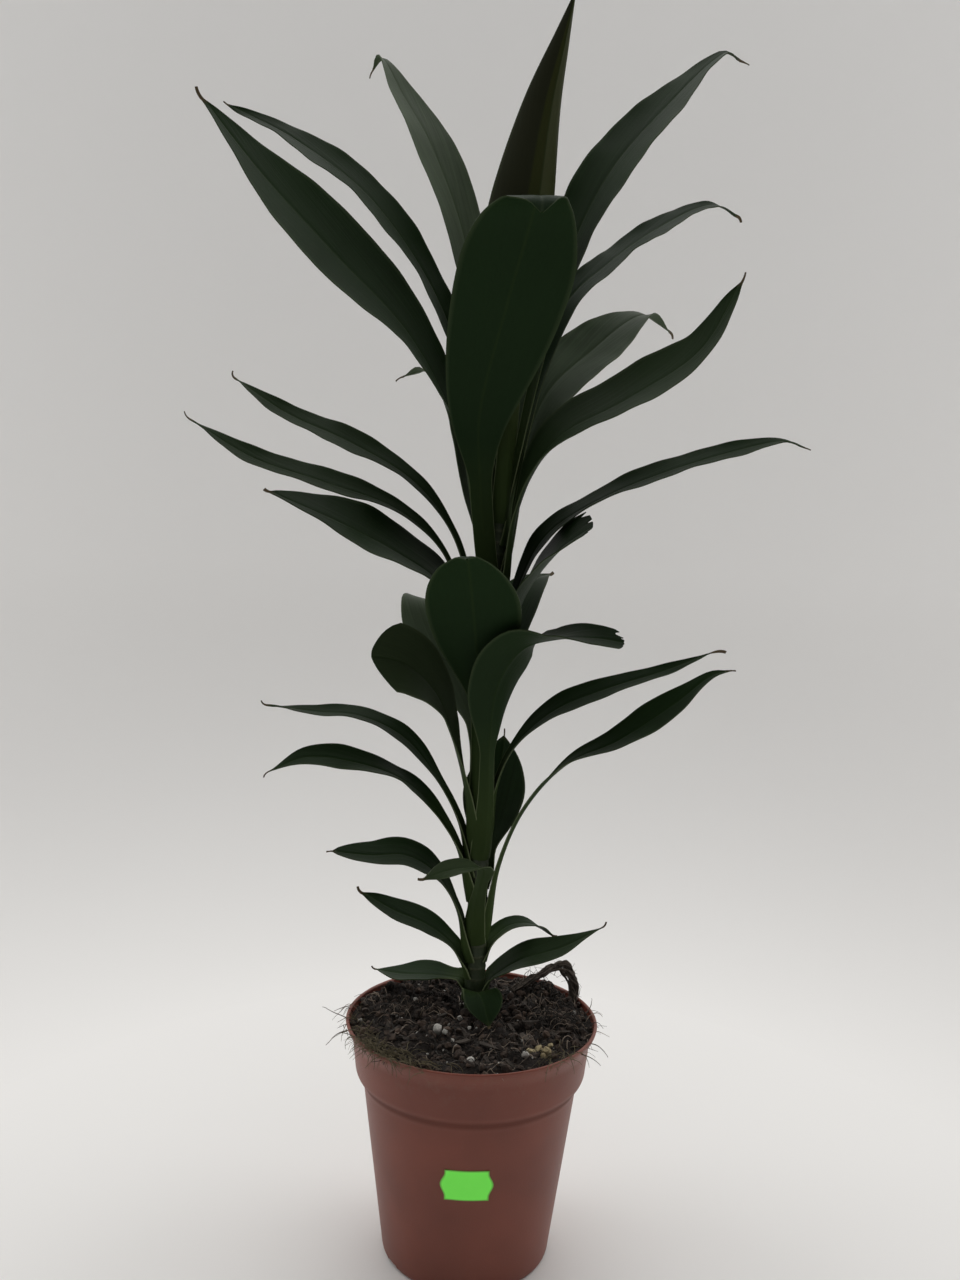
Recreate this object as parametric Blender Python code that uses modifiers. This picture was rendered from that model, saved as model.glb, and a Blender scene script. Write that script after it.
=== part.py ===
"""A potted cordyline: a young cane with its leaves, in a nursery pot filled with peat.

Run it with blender --background --python part.py, or from the text editor. It models every
piece at its real size, in metres, with +Z up and the middle of the pot's foot at the origin.
+X is to the right and +Y to the back when the plant is seen from its front.
"""
import math
from typing import NamedTuple

import bmesh
import bpy
import numpy as np
from mathutils import Vector, noise

MM = 0.001
FIT_GAP = 0.3 * MM

# The 13 cm nursery pot
POT_HEIGHT = 122 * MM
RIM_RADIUS = 65.0 * MM
COLLAR_TOP_RADIUS = 61.2 * MM
COLLAR_FOOT_RADIUS = 59.4 * MM
COLLAR_TOP = 113 * MM
COLLAR_FOOT = 97 * MM
BODY_TOP = 90 * MM
BODY_TOP_RADIUS = 55.1 * MM
FOOT_RADIUS = 43.5 * MM
FOOT_EDGE = 2.5 * MM
WALL = 1.3 * MM
FLOOR = 3.2 * MM
POT_STEPS = 56
DRAIN_HOLES = 6
DRAIN_RADIUS = 4.0 * MM
DRAIN_CIRCLE = 27.0 * MM
FOOT_NOTCHES = 8
NOTCH_WIDTH = 9.0 * MM
NOTCH_HEIGHT = 2.4 * MM
FIRST_NOTCH = math.radians(32)

# The peat that fills it
SOIL_EDGE = 117.5 * MM
SOIL_CROWN = 122.0 * MM
SOIL_LUMP = 3.4 * MM
SOIL_RINGS = 12
ROOT_LOOP_RADIUS = 2.6 * MM
ROOT_LOOP = ((17, 31, 113), (25, 31, 126), (37, 31, 133), (49, 30, 139), (55, 28, 127), (51, 25, 112))

# The cane: height, then its place to the right and to the back, and how thick it is
STEM_LINE = ((72, 1.2, 8.0), (118, 1.2, 8.0), (200, 1.2, 9.0), (300, 2.2, 10.0), (382, 6.2, 11.0))
STEM_RADIUS_FOOT = 5.7 * MM
STEM_RADIUS_TOP = 4.0 * MM
STEM_SECTIONS = 18
STEM_SWELL = 0.25 * MM

# What all leaves share
LEAF_THICKNESS = 0.7 * MM
SEAT_GAP = 0.45 * MM
STALK_HALF_FOOT = 4.9 * MM
NECK_HALF = 2.2 * MM
NECK_SHARE = 0.075
TIP_HALF = 0.45 * MM
FIRST_RISE = 7 * MM
FIRST_LEAN = 1.4 * MM
STALK_BEND = 48
WAVE_LENGTH = 55 * MM
ACROSS = 4
ROW_LENGTH = 13 * MM
LEAST_ROWS = 9
LEAF_ROUGHNESS = 0.45

# The price tag stuck on the front of the pot
TAG_LENGTH = 26 * MM
TAG_HEIGHT = 16 * MM
TAG_THICKNESS = 0.5 * MM
TAG_MIDDLE = 60.5 * MM
TAG_INSET = 2.2 * MM
TAG_INSET_RUN = 0.8


class Leaf(NamedTuple):
    """One leaf: lengths in millimetres and angles in degrees.

    node is the height where it leaves the cane and azimuth the way it points: 0 is right,
    90 back, 180 left and -90 front. arc is the run of its midrib: distance from the cane,
    height above the ground and, where it has one, a drift to its own left. roll turns the
    blade about its midrib from stalk to tip, cup is the angle of each half's curl in the blade
    and at the tip, and wave the height of its edge waves. kept is the share that is left of a
    leaf that lost its tip, broadest the share of the blade where it is widest, and power how
    pointed its ends are: the lower it is, the blunter they are.
    """

    name: str
    node: float
    azimuth: float
    width: float
    stalk: float
    arc: tuple
    roll: tuple = (0, 0)
    cup: tuple = (18, 11)
    wave: float = 0.7
    kept: float = 1.0
    broadest: float = 0.52
    power: float = 0.9
    tone: str = "dark"


LEAVES = (
    Leaf("leaf_01", 126, -84, 20, 0.15, ((12, 135, 1), (19, 132, 3), (26, 124.5, 5)), wave=0.3),
    Leaf("leaf_02", 129, 152, 24, 0.15, ((14, 136), (30, 134), (46, 131), (62, 130)), (-6, -6)),
    Leaf("leaf_03", 129, -2, 22, 0.06, ((10, 140), (25, 150), (45, 157), (65, 168)), (5, 18, 20),
         broadest=0.30),
    Leaf("leaf_04", 148, 29, 12, 0.20, ((11, 159), (20, 164), (33, 163), (47, 155)), (0, 5, 0)),
    Leaf("leaf_05", 139, 170, 20, 0.20, ((13.5, 156), (27, 165), (45, 171), (62, 179)), (-5, -20, -16),
         power=0.8),
    Leaf("leaf_06", 148, 186, 24, 0.30, ((11, 175), (22, 194), (38, 204), (56, 204), (76, 206)),
         (-5, -20, -18), broadest=0.60, power=0.6),
    Leaf("leaf_07", 158, -112, 15, 0.42, ((9, 178, 2), (12, 193, 6), (18, 203, 9), (31, 205, 0),
                                         (46, 203, -10)), (0, -10, -24)),
    Leaf("leaf_08", 160, -10, 21, 0.44, ((11.5, 199), (23.5, 230), (44, 255), (70, 269), (98, 290),
                                        (114, 304), (123, 307)), (0, 0, -8, 26, 40, 38)),
    Leaf("leaf_09", 180, 193, 22, 0.28, ((12, 208), (24, 229), (42, 245), (66, 254), (90, 257),
                                        (108, 250)), (0, -40, -12, -26, -34)),
    Leaf("leaf_10", 193, 171, 18, 0.28, ((12, 222), (24, 244), (42, 264), (66, 274), (92, 275),
                                        (117, 277)), (0, -20, -14, -6)),
    Leaf("leaf_11", 186, 62, 37, 0.22, ((9, 206), (15, 224), (20, 240), (24, 254), (26, 264)),
         broadest=0.50, power=0.8),
    Leaf("leaf_12", 212, 5, 18, 0.28, ((8.5, 240), (17, 262), (37, 281), (64, 293), (94, 303),
                                      (119, 313)), (0, 20, 30, 20), broadest=0.32),
    Leaf("leaf_13", 208, 205, 41, 0.28, ((9, 236), (16.2, 263), (26, 288), (42, 304), (60, 309),
                                        (76, 307)), (0, -30, -52, -62), kept=0.90, broadest=0.76,
         power=1.1),
    Leaf("leaf_14", 203, -67, 38, 0.28, ((9, 235), (12, 268, -1), (17, 295, 0), (25, 314, 9),
                                        (33, 320, 24), (41, 321, 42), (48, 318, 60), (53, 313, 72)),
         (0, 15, 20, 12), kept=0.895, broadest=0.42, power=1.1),
    Leaf("leaf_15", 226, 110, 44, 0.30, ((9, 262), (19, 290, 5), (33, 315, 13), (47, 331, 14),
                                        (61, 334, 9), (74, 325, 3)), broadest=0.52, power=0.8,
         tone="grey"),
    Leaf("leaf_16", 224, -97, 47, 0.34, ((8.5, 258), (13, 292, -1), (27, 327, -3), (49, 351, -3),
                                        (66, 359, -2), (77, 353, -1)), cup=(10, 2), wave=0.3,
         broadest=0.53, power=1.0),
    Leaf("leaf_17", 262, 54, 28, 0.25, ((9, 290), (17, 316), (29, 337), (43, 348), (57, 351)),
         (0, 10, 0), broadest=0.62),
    Leaf("leaf_18", 284, 4, 23, 0.08, ((10, 320), (17, 349), (30, 373), (58, 392), (92, 407),
                                      (128, 419), (150, 424), (162, 421)), (0, 20, 16, 28, 34),
         broadest=0.60),
    Leaf("leaf_19", 270, -28, 42, 0.20, ((11, 300), (19, 336), (37, 362), (60, 378), (90, 395)),
         (0, 24, 30), kept=0.76),
    Leaf("leaf_20", 290, 203, 48, 0.14, ((12, 318), (27, 345), (50, 360), (78, 373), (114, 387)),
         (0, -28, -33, -28), broadest=0.56, power=0.8),
    Leaf("leaf_21", 302, 181, 23, 0.28, ((12, 330), (26, 363), (50, 383), (86, 395), (122, 406),
                                        (154, 424)), (0, -24, -30, -30)),
    Leaf("leaf_22", 313, 164, 20, 0.28, ((11, 340), (22, 372), (44, 398), (80, 418), (116, 433),
                                        (148, 452)), (0, -20, -34, -30)),
    Leaf("leaf_23", 324, 115, 34, 0.25, ((10, 350), (18, 390), (27, 430), (40, 452, 10),
                                        (51, 459, 20), (58, 456, 29)), tone="grey"),
    Leaf("leaf_24", 318, -20, 48, 0.28, ((10.6, 346, -2.4), (14.4, 384, -2.4), (31, 418),
                                        (67, 438), (101, 460), (119, 491)), (0, 32, 38, 50),
         broadest=0.46),
    Leaf("leaf_25", 332, 41, 38, 0.22, ((11, 364), (18, 408), (33, 445), (66, 473), (106, 499),
                                       (131, 494)), (0, 20, 30, 10), tone="grey"),
    Leaf("leaf_26", 330, -92, 53, 0.28, ((8.5, 356, -3), (14, 394, -7), (26, 430, -8), (50, 476, 4),
                                        (66, 506, 13), (77, 514, 16), (87, 511, 18), (91, 504, 18)),
         cup=(12, 2), wave=0.3, broadest=0.66),
    Leaf("leaf_27", 338, 201, 52, 0.25, ((10.5, 366), (21.5, 420), (48, 466), (88, 502), (121, 532),
                                        (148, 561)), (0, -40, -55, -45), wave=0.5, broadest=0.60),
    Leaf("leaf_28", 350, 166, 28, 0.25, ((9, 380), (17, 432), (32, 485), (70, 540), (114, 574),
                                        (154, 595)), (0, -24, -22, -32, -40), broadest=0.60),
    Leaf("leaf_29", 351, 41, 19, 0.25, ((10.5, 380), (20, 432), (42, 491), (76, 522), (120, 552),
                                       (162, 573), (190, 573)), (0, 30, 32, 15, 30, 24), tone="grey"),
    Leaf("leaf_30", 365, 20, 38, 0.28, ((8.5, 392), (18, 446), (34, 513), (56, 560), (89, 600),
                                       (119, 630), (130, 629)), (0, 20, 30, 20), broadest=0.58),
    Leaf("leaf_31", 368, 136, 30, 0.25, ((8, 396), (13, 440), (20, 482), (33, 530), (58, 578),
                                        (83, 612), (101, 636), (108, 631)), (0, -10, -10, 0),
         wave=0.3, broadest=0.62, tone="grey"),
    Leaf("leaf_32", 377, -60, 56, 0.30, ((7, 400), (12, 450), (19, 500, 2), (21, 540, 5),
                                        (21, 580, 10), (25, 610, 14), (28, 637, 18)),
         cup=(75, 85), wave=0, broadest=0.22, power=1.1, tone="spear"),
    Leaf("leaf_33", 296, 86, 34, 0.25, ((11, 328), (20, 376), (42, 412), (76, 430), (112, 424))),
    Leaf("leaf_34", 342, 112, 36, 0.25, ((10, 374), (19, 418, -2), (36, 460, -5), (66, 490, -9),
                                        (104, 496, -14))),
)

LEAF_TONES = {
    "dark": (0.020, 0.045, 0.026),
    "grey": (0.085, 0.115, 0.085),
    "spear": (0.055, 0.055, 0.022),
}


def clear_scene():
    for thing in list(bpy.data.objects):
        bpy.data.objects.remove(thing, do_unlink=True)


def new_collection(name):
    group = bpy.data.collections.new(name)
    bpy.context.scene.collection.children.link(group)
    return group


def new_material(name, colour, roughness):
    material = bpy.data.materials.new(name)
    material.use_nodes = True
    shader = material.node_tree.nodes["Principled BSDF"]
    shader.inputs["Base Color"].default_value = (*colour, 1.0)
    shader.inputs["Roughness"].default_value = roughness
    shader.inputs["Metallic"].default_value = 0.0
    return material


def add_object(name, data, group, material=None):
    thing = bpy.data.objects.new(name, data)
    group.objects.link(thing)
    if material:
        data.materials.append(material)
    return thing


def apply_modifiers(thing):
    """Replaces the object's mesh by what its modifiers make of it."""
    bpy.context.view_layer.update()
    evaluated = thing.evaluated_get(bpy.context.evaluated_depsgraph_get())
    mesh = bpy.data.meshes.new_from_object(evaluated)
    thing.modifiers.clear()
    thing.data = mesh


def turned(name, profile, steps, group, material):
    """A Screw modifier on a profile of (radius, height) that runs down its outer side."""
    mesh = bpy.data.meshes.new(name)
    edges = [(i, i + 1) for i in range(len(profile) - 1)]
    mesh.from_pydata([(r, 0, z) for r, z in profile], edges, [])
    thing = add_object(name, mesh, group, material)
    screw = thing.modifiers.new("turn", "SCREW")
    screw.steps = screw.render_steps = steps
    screw.use_merge_vertices = True
    screw.merge_threshold = 0.00001
    screw.use_smooth_shade = True
    return thing


def cut(thing, cutter):
    boolean = thing.modifiers.new("cut " + cutter.name, "BOOLEAN")
    boolean.operation = "DIFFERENCE"
    boolean.object = cutter
    cutter.hide_render = True
    cutter.display_type = "WIRE"


def cylinder_mesh(name, radius, depth, steps, places):
    """Upright cylinders of one size, one at each place."""
    shape = bmesh.new()
    for place in places:
        made = bmesh.ops.create_cone(shape, cap_ends=True, segments=steps, radius1=radius,
                                     radius2=radius, depth=depth)
        bmesh.ops.translate(shape, verts=made["verts"], vec=place)
    mesh = bpy.data.meshes.new(name)
    shape.to_mesh(mesh)
    shape.free()
    return mesh


def around(count, radius, start=0.0):
    """Points evenly spaced on a circle on the ground about the pot's axis."""
    angles = [start + 2 * math.pi * i / count for i in range(count)]
    return [Vector((radius * math.cos(a), radius * math.sin(a), 0.0)) for a in angles]


def pot_outer_radius(height):
    heights = (FOOT_EDGE, BODY_TOP)
    return float(np.interp(height, heights, (FOOT_RADIUS, BODY_TOP_RADIUS)))


def pot_profile():
    outside = [
        (RIM_RADIUS - 0.5 * MM, POT_HEIGHT),
        (RIM_RADIUS, POT_HEIGHT - 0.5 * MM),
        (RIM_RADIUS - 0.4 * MM, POT_HEIGHT - 2.2 * MM),
        (COLLAR_TOP_RADIUS + 1.0 * MM, COLLAR_TOP + 2.5 * MM),
        (COLLAR_TOP_RADIUS, COLLAR_TOP),
        (COLLAR_FOOT_RADIUS, COLLAR_FOOT),
        (COLLAR_FOOT_RADIUS - 0.8 * MM, COLLAR_FOOT - 2.0 * MM),
        (BODY_TOP_RADIUS + 0.8 * MM, BODY_TOP + 1.6 * MM),
        (BODY_TOP_RADIUS, BODY_TOP - 1.0 * MM),
        (FOOT_RADIUS, FOOT_EDGE),
        (FOOT_RADIUS - 0.7 * MM, 0.8 * MM),
        (FOOT_RADIUS - 2.0 * MM, 0.0),
    ]
    inside = [(radius - WALL, height) for radius, height in outside[2:9]]
    inside.append((pot_outer_radius(FLOOR) - WALL, FLOOR))
    brim = [(RIM_RADIUS - 1.9 * MM, POT_HEIGHT - 0.4 * MM)]
    return [(0.0, FLOOR)] + inside[::-1] + brim + outside + [(0.0, 0.0)]


def make_pot(group, cutters):
    plastic = new_material("pot_plastic", (0.22, 0.085, 0.055), 0.42)
    pot = turned("pot", pot_profile(), POT_STEPS, group, plastic)
    holes = cylinder_mesh("drain_holes", DRAIN_RADIUS, 4 * FLOOR, 16,
                          around(DRAIN_HOLES, DRAIN_CIRCLE))
    cut(pot, add_object("drain_holes", holes, cutters))
    shape = bmesh.new()
    for spot in around(FOOT_NOTCHES, FOOT_RADIUS, start=FIRST_NOTCH):
        made = bmesh.ops.create_cube(shape, size=1.0)
        size = Vector((8 * MM, NOTCH_WIDTH, 2 * NOTCH_HEIGHT))
        bmesh.ops.scale(shape, verts=made["verts"], vec=size)
        turn = Vector((1, 0, 0)).rotation_difference(spot.normalized()).to_matrix()
        bmesh.ops.rotate(shape, verts=made["verts"], matrix=turn)
        bmesh.ops.translate(shape, verts=made["verts"], vec=spot)
    notches = bpy.data.meshes.new("foot_notches")
    shape.to_mesh(notches)
    shape.free()
    cut(pot, add_object("foot_notches", notches, cutters))
    return pot


def pot_inside():
    """Height and radius of each bend of the pot's inner wall, from the floor up."""
    return sorted((height, radius) for radius, height in pot_profile()[1:9])


def inner_radius(height):
    rows = pot_inside()
    return float(np.interp(height, [h for h, _ in rows], [r for _, r in rows]))


def soil_height(x, y):
    """The rough, slightly mounded surface of the peat."""
    distance = math.hypot(x, y) / RIM_RADIUS
    mound = SOIL_EDGE + (SOIL_CROWN - SOIL_EDGE) * (1 - distance ** 2)
    coarse = noise.noise(Vector((x, y, 0)) * 95)
    fine = noise.noise(Vector((x, y, 0.01)) * 230)
    return mound + SOIL_LUMP * (0.8 * coarse + 0.5 * fine)


def soil_profile():
    heights = [height for height, _ in pot_inside() if FLOOR < height < SOIL_EDGE]
    heights = [SOIL_EDGE] + heights[::-1] + [FLOOR + FIT_GAP]
    wall = [(inner_radius(height) - FIT_GAP, height) for height in heights]
    top = [(wall[0][0] * i / SOIL_RINGS, SOIL_EDGE) for i in range(SOIL_RINGS)]
    return top + wall + [(0.0, FLOOR + FIT_GAP)]


def root_loop(group):
    """The arch of matted roots that stands out of the peat at the back right."""
    curve = bpy.data.curves.new("root_loop", "CURVE")
    curve.dimensions = "3D"
    curve.bevel_depth = ROOT_LOOP_RADIUS
    curve.bevel_resolution = 1
    curve.use_fill_caps = True
    curve.resolution_u = 3
    spline = curve.splines.new("NURBS")
    spline.points.add(len(ROOT_LOOP) - 1)
    for point, (x, y, z) in zip(spline.points, ROOT_LOOP):
        point.co = (x * MM, y * MM, z * MM, 1)
    spline.use_endpoint_u = True
    spline.order_u = 4
    return curve_to_mesh("root_loop", curve, group)


def curve_to_mesh(name, curve, group):
    guide = add_object(name + "_guide", curve, group)
    bpy.context.view_layer.update()
    evaluated = guide.evaluated_get(bpy.context.evaluated_depsgraph_get())
    mesh = bpy.data.meshes.new_from_object(evaluated)
    bpy.data.objects.remove(guide, do_unlink=True)
    shape = bmesh.new()
    shape.from_mesh(mesh)
    bmesh.ops.remove_doubles(shape, verts=shape.verts, dist=0.01 * MM)
    bmesh.ops.triangulate(shape, faces=shape.faces)
    bmesh.ops.recalc_face_normals(shape, faces=shape.faces)
    shape.to_mesh(mesh)
    shape.free()
    return add_object(name, mesh, group)


def make_soil(group, cutters):
    peat = new_material("soil_peat", (0.045, 0.032, 0.024), 0.95)
    soil = turned("soil", soil_profile(), POT_STEPS, group, peat)
    apply_modifiers(soil)
    rim = inner_radius(SOIL_EDGE) - FIT_GAP
    shape = bmesh.new()
    shape.from_mesh(soil.data)
    bmesh.ops.triangulate(shape, faces=shape.faces)
    for vert in shape.verts:
        if vert.co.z > SOIL_EDGE - 0.1 * MM:
            inward = 1 - math.hypot(vert.co.x, vert.co.y) / rim
            share = min(1.0, inward * 6)
            vert.co.z += share * (soil_height(vert.co.x, vert.co.y) - SOIL_EDGE)
    shape.to_mesh(soil.data)
    shape.free()
    roots = root_loop(cutters)
    join = soil.modifiers.new("roots", "BOOLEAN")
    join.operation = "UNION"
    join.object = roots
    apply_modifiers(soil)
    bpy.data.objects.remove(roots, do_unlink=True)
    x, y = stem_place(STEM_LINE[0][0] * MM)
    reach = 60 * MM
    hole = cylinder_mesh("stem_hole", STEM_RADIUS_FOOT + STEM_SWELL + FIT_GAP, reach, 20,
                         [Vector((x, y, STEM_LINE[0][0] * MM - FIT_GAP + reach / 2))])
    cut(soil, add_object("stem_hole", hole, cutters))
    return soil


def stem_place(height):
    """The cane's middle at a height."""
    heights, right, back = (np.array(STEM_LINE) * MM).T
    return float(np.interp(height, heights, right)), float(np.interp(height, heights, back))


def stem_radius(height):
    foot, top = STEM_LINE[0][0] * MM, STEM_LINE[-1][0] * MM
    share = (height - foot) / (top - foot)
    return STEM_RADIUS_FOOT + (STEM_RADIUS_TOP - STEM_RADIUS_FOOT) * share


def make_stem(group):
    bark = new_material("stem_green", (0.10, 0.13, 0.06), 0.6)
    curve = bpy.data.curves.new("stem", "CURVE")
    curve.dimensions = "3D"
    curve.bevel_depth = 1.0
    curve.bevel_resolution = 3
    curve.use_fill_caps = True
    spline = curve.splines.new("POLY")
    spline.points.add(STEM_SECTIONS)
    foot, top = STEM_LINE[0][0] * MM, STEM_LINE[-1][0] * MM
    for i, point in enumerate(spline.points):
        height = foot + (top - foot) * i / STEM_SECTIONS
        x, y = stem_place(height)
        ring = STEM_SWELL * (1 if i % 2 else -1)
        point.co = (x, y, height, 1)
        point.radius = stem_radius(height) + (ring if 0 < i < STEM_SECTIONS else -0.4 * MM)
    stem = curve_to_mesh("stem", curve, group)
    stem.data.materials.append(bark)
    stem.data.shade_smooth()
    return stem


def smooth_path(points, count):
    """Even steps along a smooth curve through the points, and its length."""
    points = np.array(points, float)
    reach = np.linalg.norm(np.diff(points, axis=0), axis=1)
    knots = np.concatenate([[0], np.cumsum(np.sqrt(reach))])
    slopes = np.empty_like(points)
    slopes[1:-1] = (points[2:] - points[:-2]) / (knots[2:] - knots[:-2])[:, None]
    slopes[0] = (points[1] - points[0]) / (knots[1] - knots[0])
    slopes[-1] = (points[-1] - points[-2]) / (knots[-1] - knots[-2])
    fine = np.linspace(0, knots[-1], 240)
    i = np.clip(np.searchsorted(knots, fine, side="right") - 1, 0, len(knots) - 2)
    span = (knots[i + 1] - knots[i])[:, None]
    t = ((fine - knots[i]) / (knots[i + 1] - knots[i]))[:, None]
    curve = ((2 * t**3 - 3 * t**2 + 1) * points[i] + (t**3 - 2 * t**2 + t) * span * slopes[i]
             + (3 * t**2 - 2 * t**3) * points[i + 1] + (t**3 - t**2) * span * slopes[i + 1])
    run = np.concatenate([[0], np.cumsum(np.linalg.norm(np.diff(curve, axis=0), axis=1))])
    even = np.linspace(0, run[-1], count + 1)
    return np.stack([np.interp(even, run, curve[:, k]) for k in range(3)], axis=1), run[-1]


def leaf_midrib(leaf, count):
    """The midrib from its seat on the cane to the tip, and the way across the leaf."""
    node = leaf.node * MM
    x, y = stem_place(node)
    turn = math.radians(leaf.azimuth)
    out = np.array([math.cos(turn), math.sin(turn), 0.0])
    side = np.array([-math.sin(turn), math.cos(turn), 0.0])
    up = np.array([0.0, 0.0, 1.0])
    seat = stem_radius(node) + STEM_SWELL + SEAT_GAP + LEAF_THICKNESS / 2
    spots = [(seat, node, 0.0), (seat + FIRST_LEAN, node + FIRST_RISE, 0.0)]
    spots += [tuple(v * MM for v in (*spot, 0.0)[:3]) for spot in leaf.arc]
    axis = np.array([x, y, 0.0])
    points = [axis + spot[0] * out + spot[1] * up + spot[2] * side for spot in spots]
    path, length = smooth_path(points, count)
    return path, length, side, seat


def leaf_half_width(leaf, along):
    """Half the blade's width: a channelled stalk that opens into a pointed blade."""
    share = np.clip((along - leaf.stalk) / (1 - leaf.stalk), 0, 1)
    swell = np.interp(share, [0, leaf.broadest, 1], [0, 0.5, 1])
    blade = np.sin(math.pi * swell) ** leaf.power * leaf.width * MM / 2
    neck = NECK_HALF + NECK_SHARE * leaf.width * MM
    stalk = np.interp(along, [0, leaf.stalk, 1], [STALK_HALF_FOOT, neck, 0.0])
    return np.maximum((blade ** 2.5 + stalk ** 2.5) ** 0.4, TIP_HALF)


def leaf_points(leaf, rows, columns):
    """The middle surface of a leaf, as a grid of points from stalk to tip."""
    full = round(rows / leaf.kept)
    path, length, side, seat = leaf_midrib(leaf, full)
    forward = np.gradient(path, axis=0)[:rows + 1]
    path = path[:rows + 1]
    along = np.linspace(0, rows / full, rows + 1)
    forward /= np.linalg.norm(forward, axis=1)[:, None]
    across = side - (forward @ side)[:, None] * forward
    across /= np.linalg.norm(across, axis=1)[:, None]
    face = np.cross(forward, across)
    stops = np.linspace(0.08, 1, len(leaf.roll))
    roll = np.radians(np.interp(along, stops, leaf.roll) * np.clip(along / 0.15, 0, 1))[:, None]
    across, face = (across * np.cos(roll) + face * np.sin(roll),
                    face * np.cos(roll) - across * np.sin(roll))
    half = leaf_half_width(leaf, along)
    hug = math.degrees(STALK_HALF_FOOT / seat)
    bend = np.radians(np.interp(along, [0, leaf.stalk * 0.6, leaf.stalk + 0.22, 1],
                                [hug, STALK_BEND, *leaf.cup]))
    blade = np.clip((along - leaf.stalk) * 4, 0, 1)
    points = np.zeros((rows + 1, columns + 1, 3))
    for j, v in enumerate(np.linspace(-1, 1, columns + 1)):
        reach = half / bend * np.sin(bend * v)
        rise = half / bend * (1 - np.cos(bend * v))
        phase = 0.5 * (v > 0) + leaf.azimuth / 90
        wave = leaf.wave * MM * v**2 * np.sin(2 * math.pi * (along * length / WAVE_LENGTH + phase))
        points[:, j] = path + across * reach[:, None] + face * (rise + wave * blade)[:, None]
    return points


def make_leaf(leaf, group, material):
    """A flat grid bent onto the leaf's surface, then given its thickness."""
    _, length, _, _ = leaf_midrib(leaf, 8)
    rows = max(LEAST_ROWS, round(length * leaf.kept / ROW_LENGTH))
    columns = 2 * ACROSS if max(leaf.cup) > STALK_BEND else ACROSS
    points = leaf_points(leaf, rows, columns)
    shape = bmesh.new()
    bmesh.ops.create_grid(shape, x_segments=columns, y_segments=rows, size=0.5)
    for vert in shape.verts:
        column = round((vert.co.x + 0.5) * columns)
        row = round((vert.co.y + 0.5) * rows)
        vert.co = points[row, column]
    bmesh.ops.triangulate(shape, faces=shape.faces)
    mesh = bpy.data.meshes.new(leaf.name)
    shape.to_mesh(mesh)
    shape.free()
    mesh.shade_smooth()
    thing = add_object(leaf.name, mesh, group, material)
    wall = thing.modifiers.new("thickness", "SOLIDIFY")
    wall.thickness = LEAF_THICKNESS
    wall.offset = 0.0
    return thing


def make_leaves(group):
    materials = {tone: new_material("leaf_" + tone, colour, LEAF_ROUGHNESS)
                 for tone, colour in LEAF_TONES.items()}
    for leaf in LEAVES:
        make_leaf(leaf, group, materials[leaf.tone])


def make_tag(group):
    """A thin paper tag that follows the pot's front, with bracket-shaped short sides."""
    columns, rows = 14, 6
    shape = bmesh.new()
    bmesh.ops.create_grid(shape, x_segments=columns, y_segments=rows, size=0.5)
    for vert in shape.verts:
        height = TAG_MIDDLE + vert.co.y * TAG_HEIGHT
        inset = min(1.0, abs(2 * vert.co.y) / TAG_INSET_RUN)
        half = TAG_LENGTH / 2 - TAG_INSET * (1 - math.cos(math.pi * inset)) / 2
        radius = pot_outer_radius(height) + FIT_GAP + TAG_THICKNESS / 2
        turn = -math.pi / 2 + 2 * vert.co.x * half / radius
        vert.co = (radius * math.cos(turn), radius * math.sin(turn), height)
    bmesh.ops.triangulate(shape, faces=shape.faces)
    mesh = bpy.data.meshes.new("price_tag")
    shape.to_mesh(mesh)
    shape.free()
    tag = add_object("price_tag", mesh, group, new_material("tag_paper", (0.16, 0.75, 0.10), 0.5))
    wall = tag.modifiers.new("thickness", "SOLIDIFY")
    wall.thickness = TAG_THICKNESS
    wall.offset = 0.0
    return tag


def main():
    clear_scene()
    group = new_collection("potted_cordyline")
    cutters = new_collection("cutters")
    make_pot(group, cutters)
    make_soil(group, cutters)
    make_stem(group)
    make_leaves(group)
    make_tag(group)


main()
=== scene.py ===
"""The looks of a potted cordyline, laid out as a Blender add-on and run as a script.

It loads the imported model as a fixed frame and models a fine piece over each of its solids, then
adds the grit, fibres, roots and hairs that are too small for them. Lengths are in metres, +X is
to the right and +Y to the back when the plant is seen from its front.
"""

import math
import random
from typing import NamedTuple

import bmesh
import bpy
import numpy as np
from bpy.props import FloatProperty, FloatVectorProperty, IntProperty, PointerProperty
from mathutils import Matrix, Vector, noise


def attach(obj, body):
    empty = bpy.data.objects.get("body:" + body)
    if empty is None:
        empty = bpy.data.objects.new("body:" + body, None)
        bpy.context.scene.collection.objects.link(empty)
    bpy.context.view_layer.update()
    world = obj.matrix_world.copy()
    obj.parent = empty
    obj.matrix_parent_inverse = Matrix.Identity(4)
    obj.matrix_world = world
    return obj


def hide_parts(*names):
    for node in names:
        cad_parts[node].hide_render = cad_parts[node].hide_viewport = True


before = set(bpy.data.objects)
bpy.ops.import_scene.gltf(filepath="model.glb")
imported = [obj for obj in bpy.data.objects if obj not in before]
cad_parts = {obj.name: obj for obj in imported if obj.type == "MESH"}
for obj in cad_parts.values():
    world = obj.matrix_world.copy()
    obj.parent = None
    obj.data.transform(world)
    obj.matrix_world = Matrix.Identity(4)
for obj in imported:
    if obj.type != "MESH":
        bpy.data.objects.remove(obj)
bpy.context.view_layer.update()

bl_info = {
    "name": "Potted Cordyline",
    "version": (1, 0, 0),
    "blender": (4, 5, 0),
    "location": "3D View > Sidebar > Cordyline",
    "description": "Dresses a packed frame as a young cordyline in its nursery pot",
    "category": "Object",
}

MM = 0.001
BODY = "root"

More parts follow.
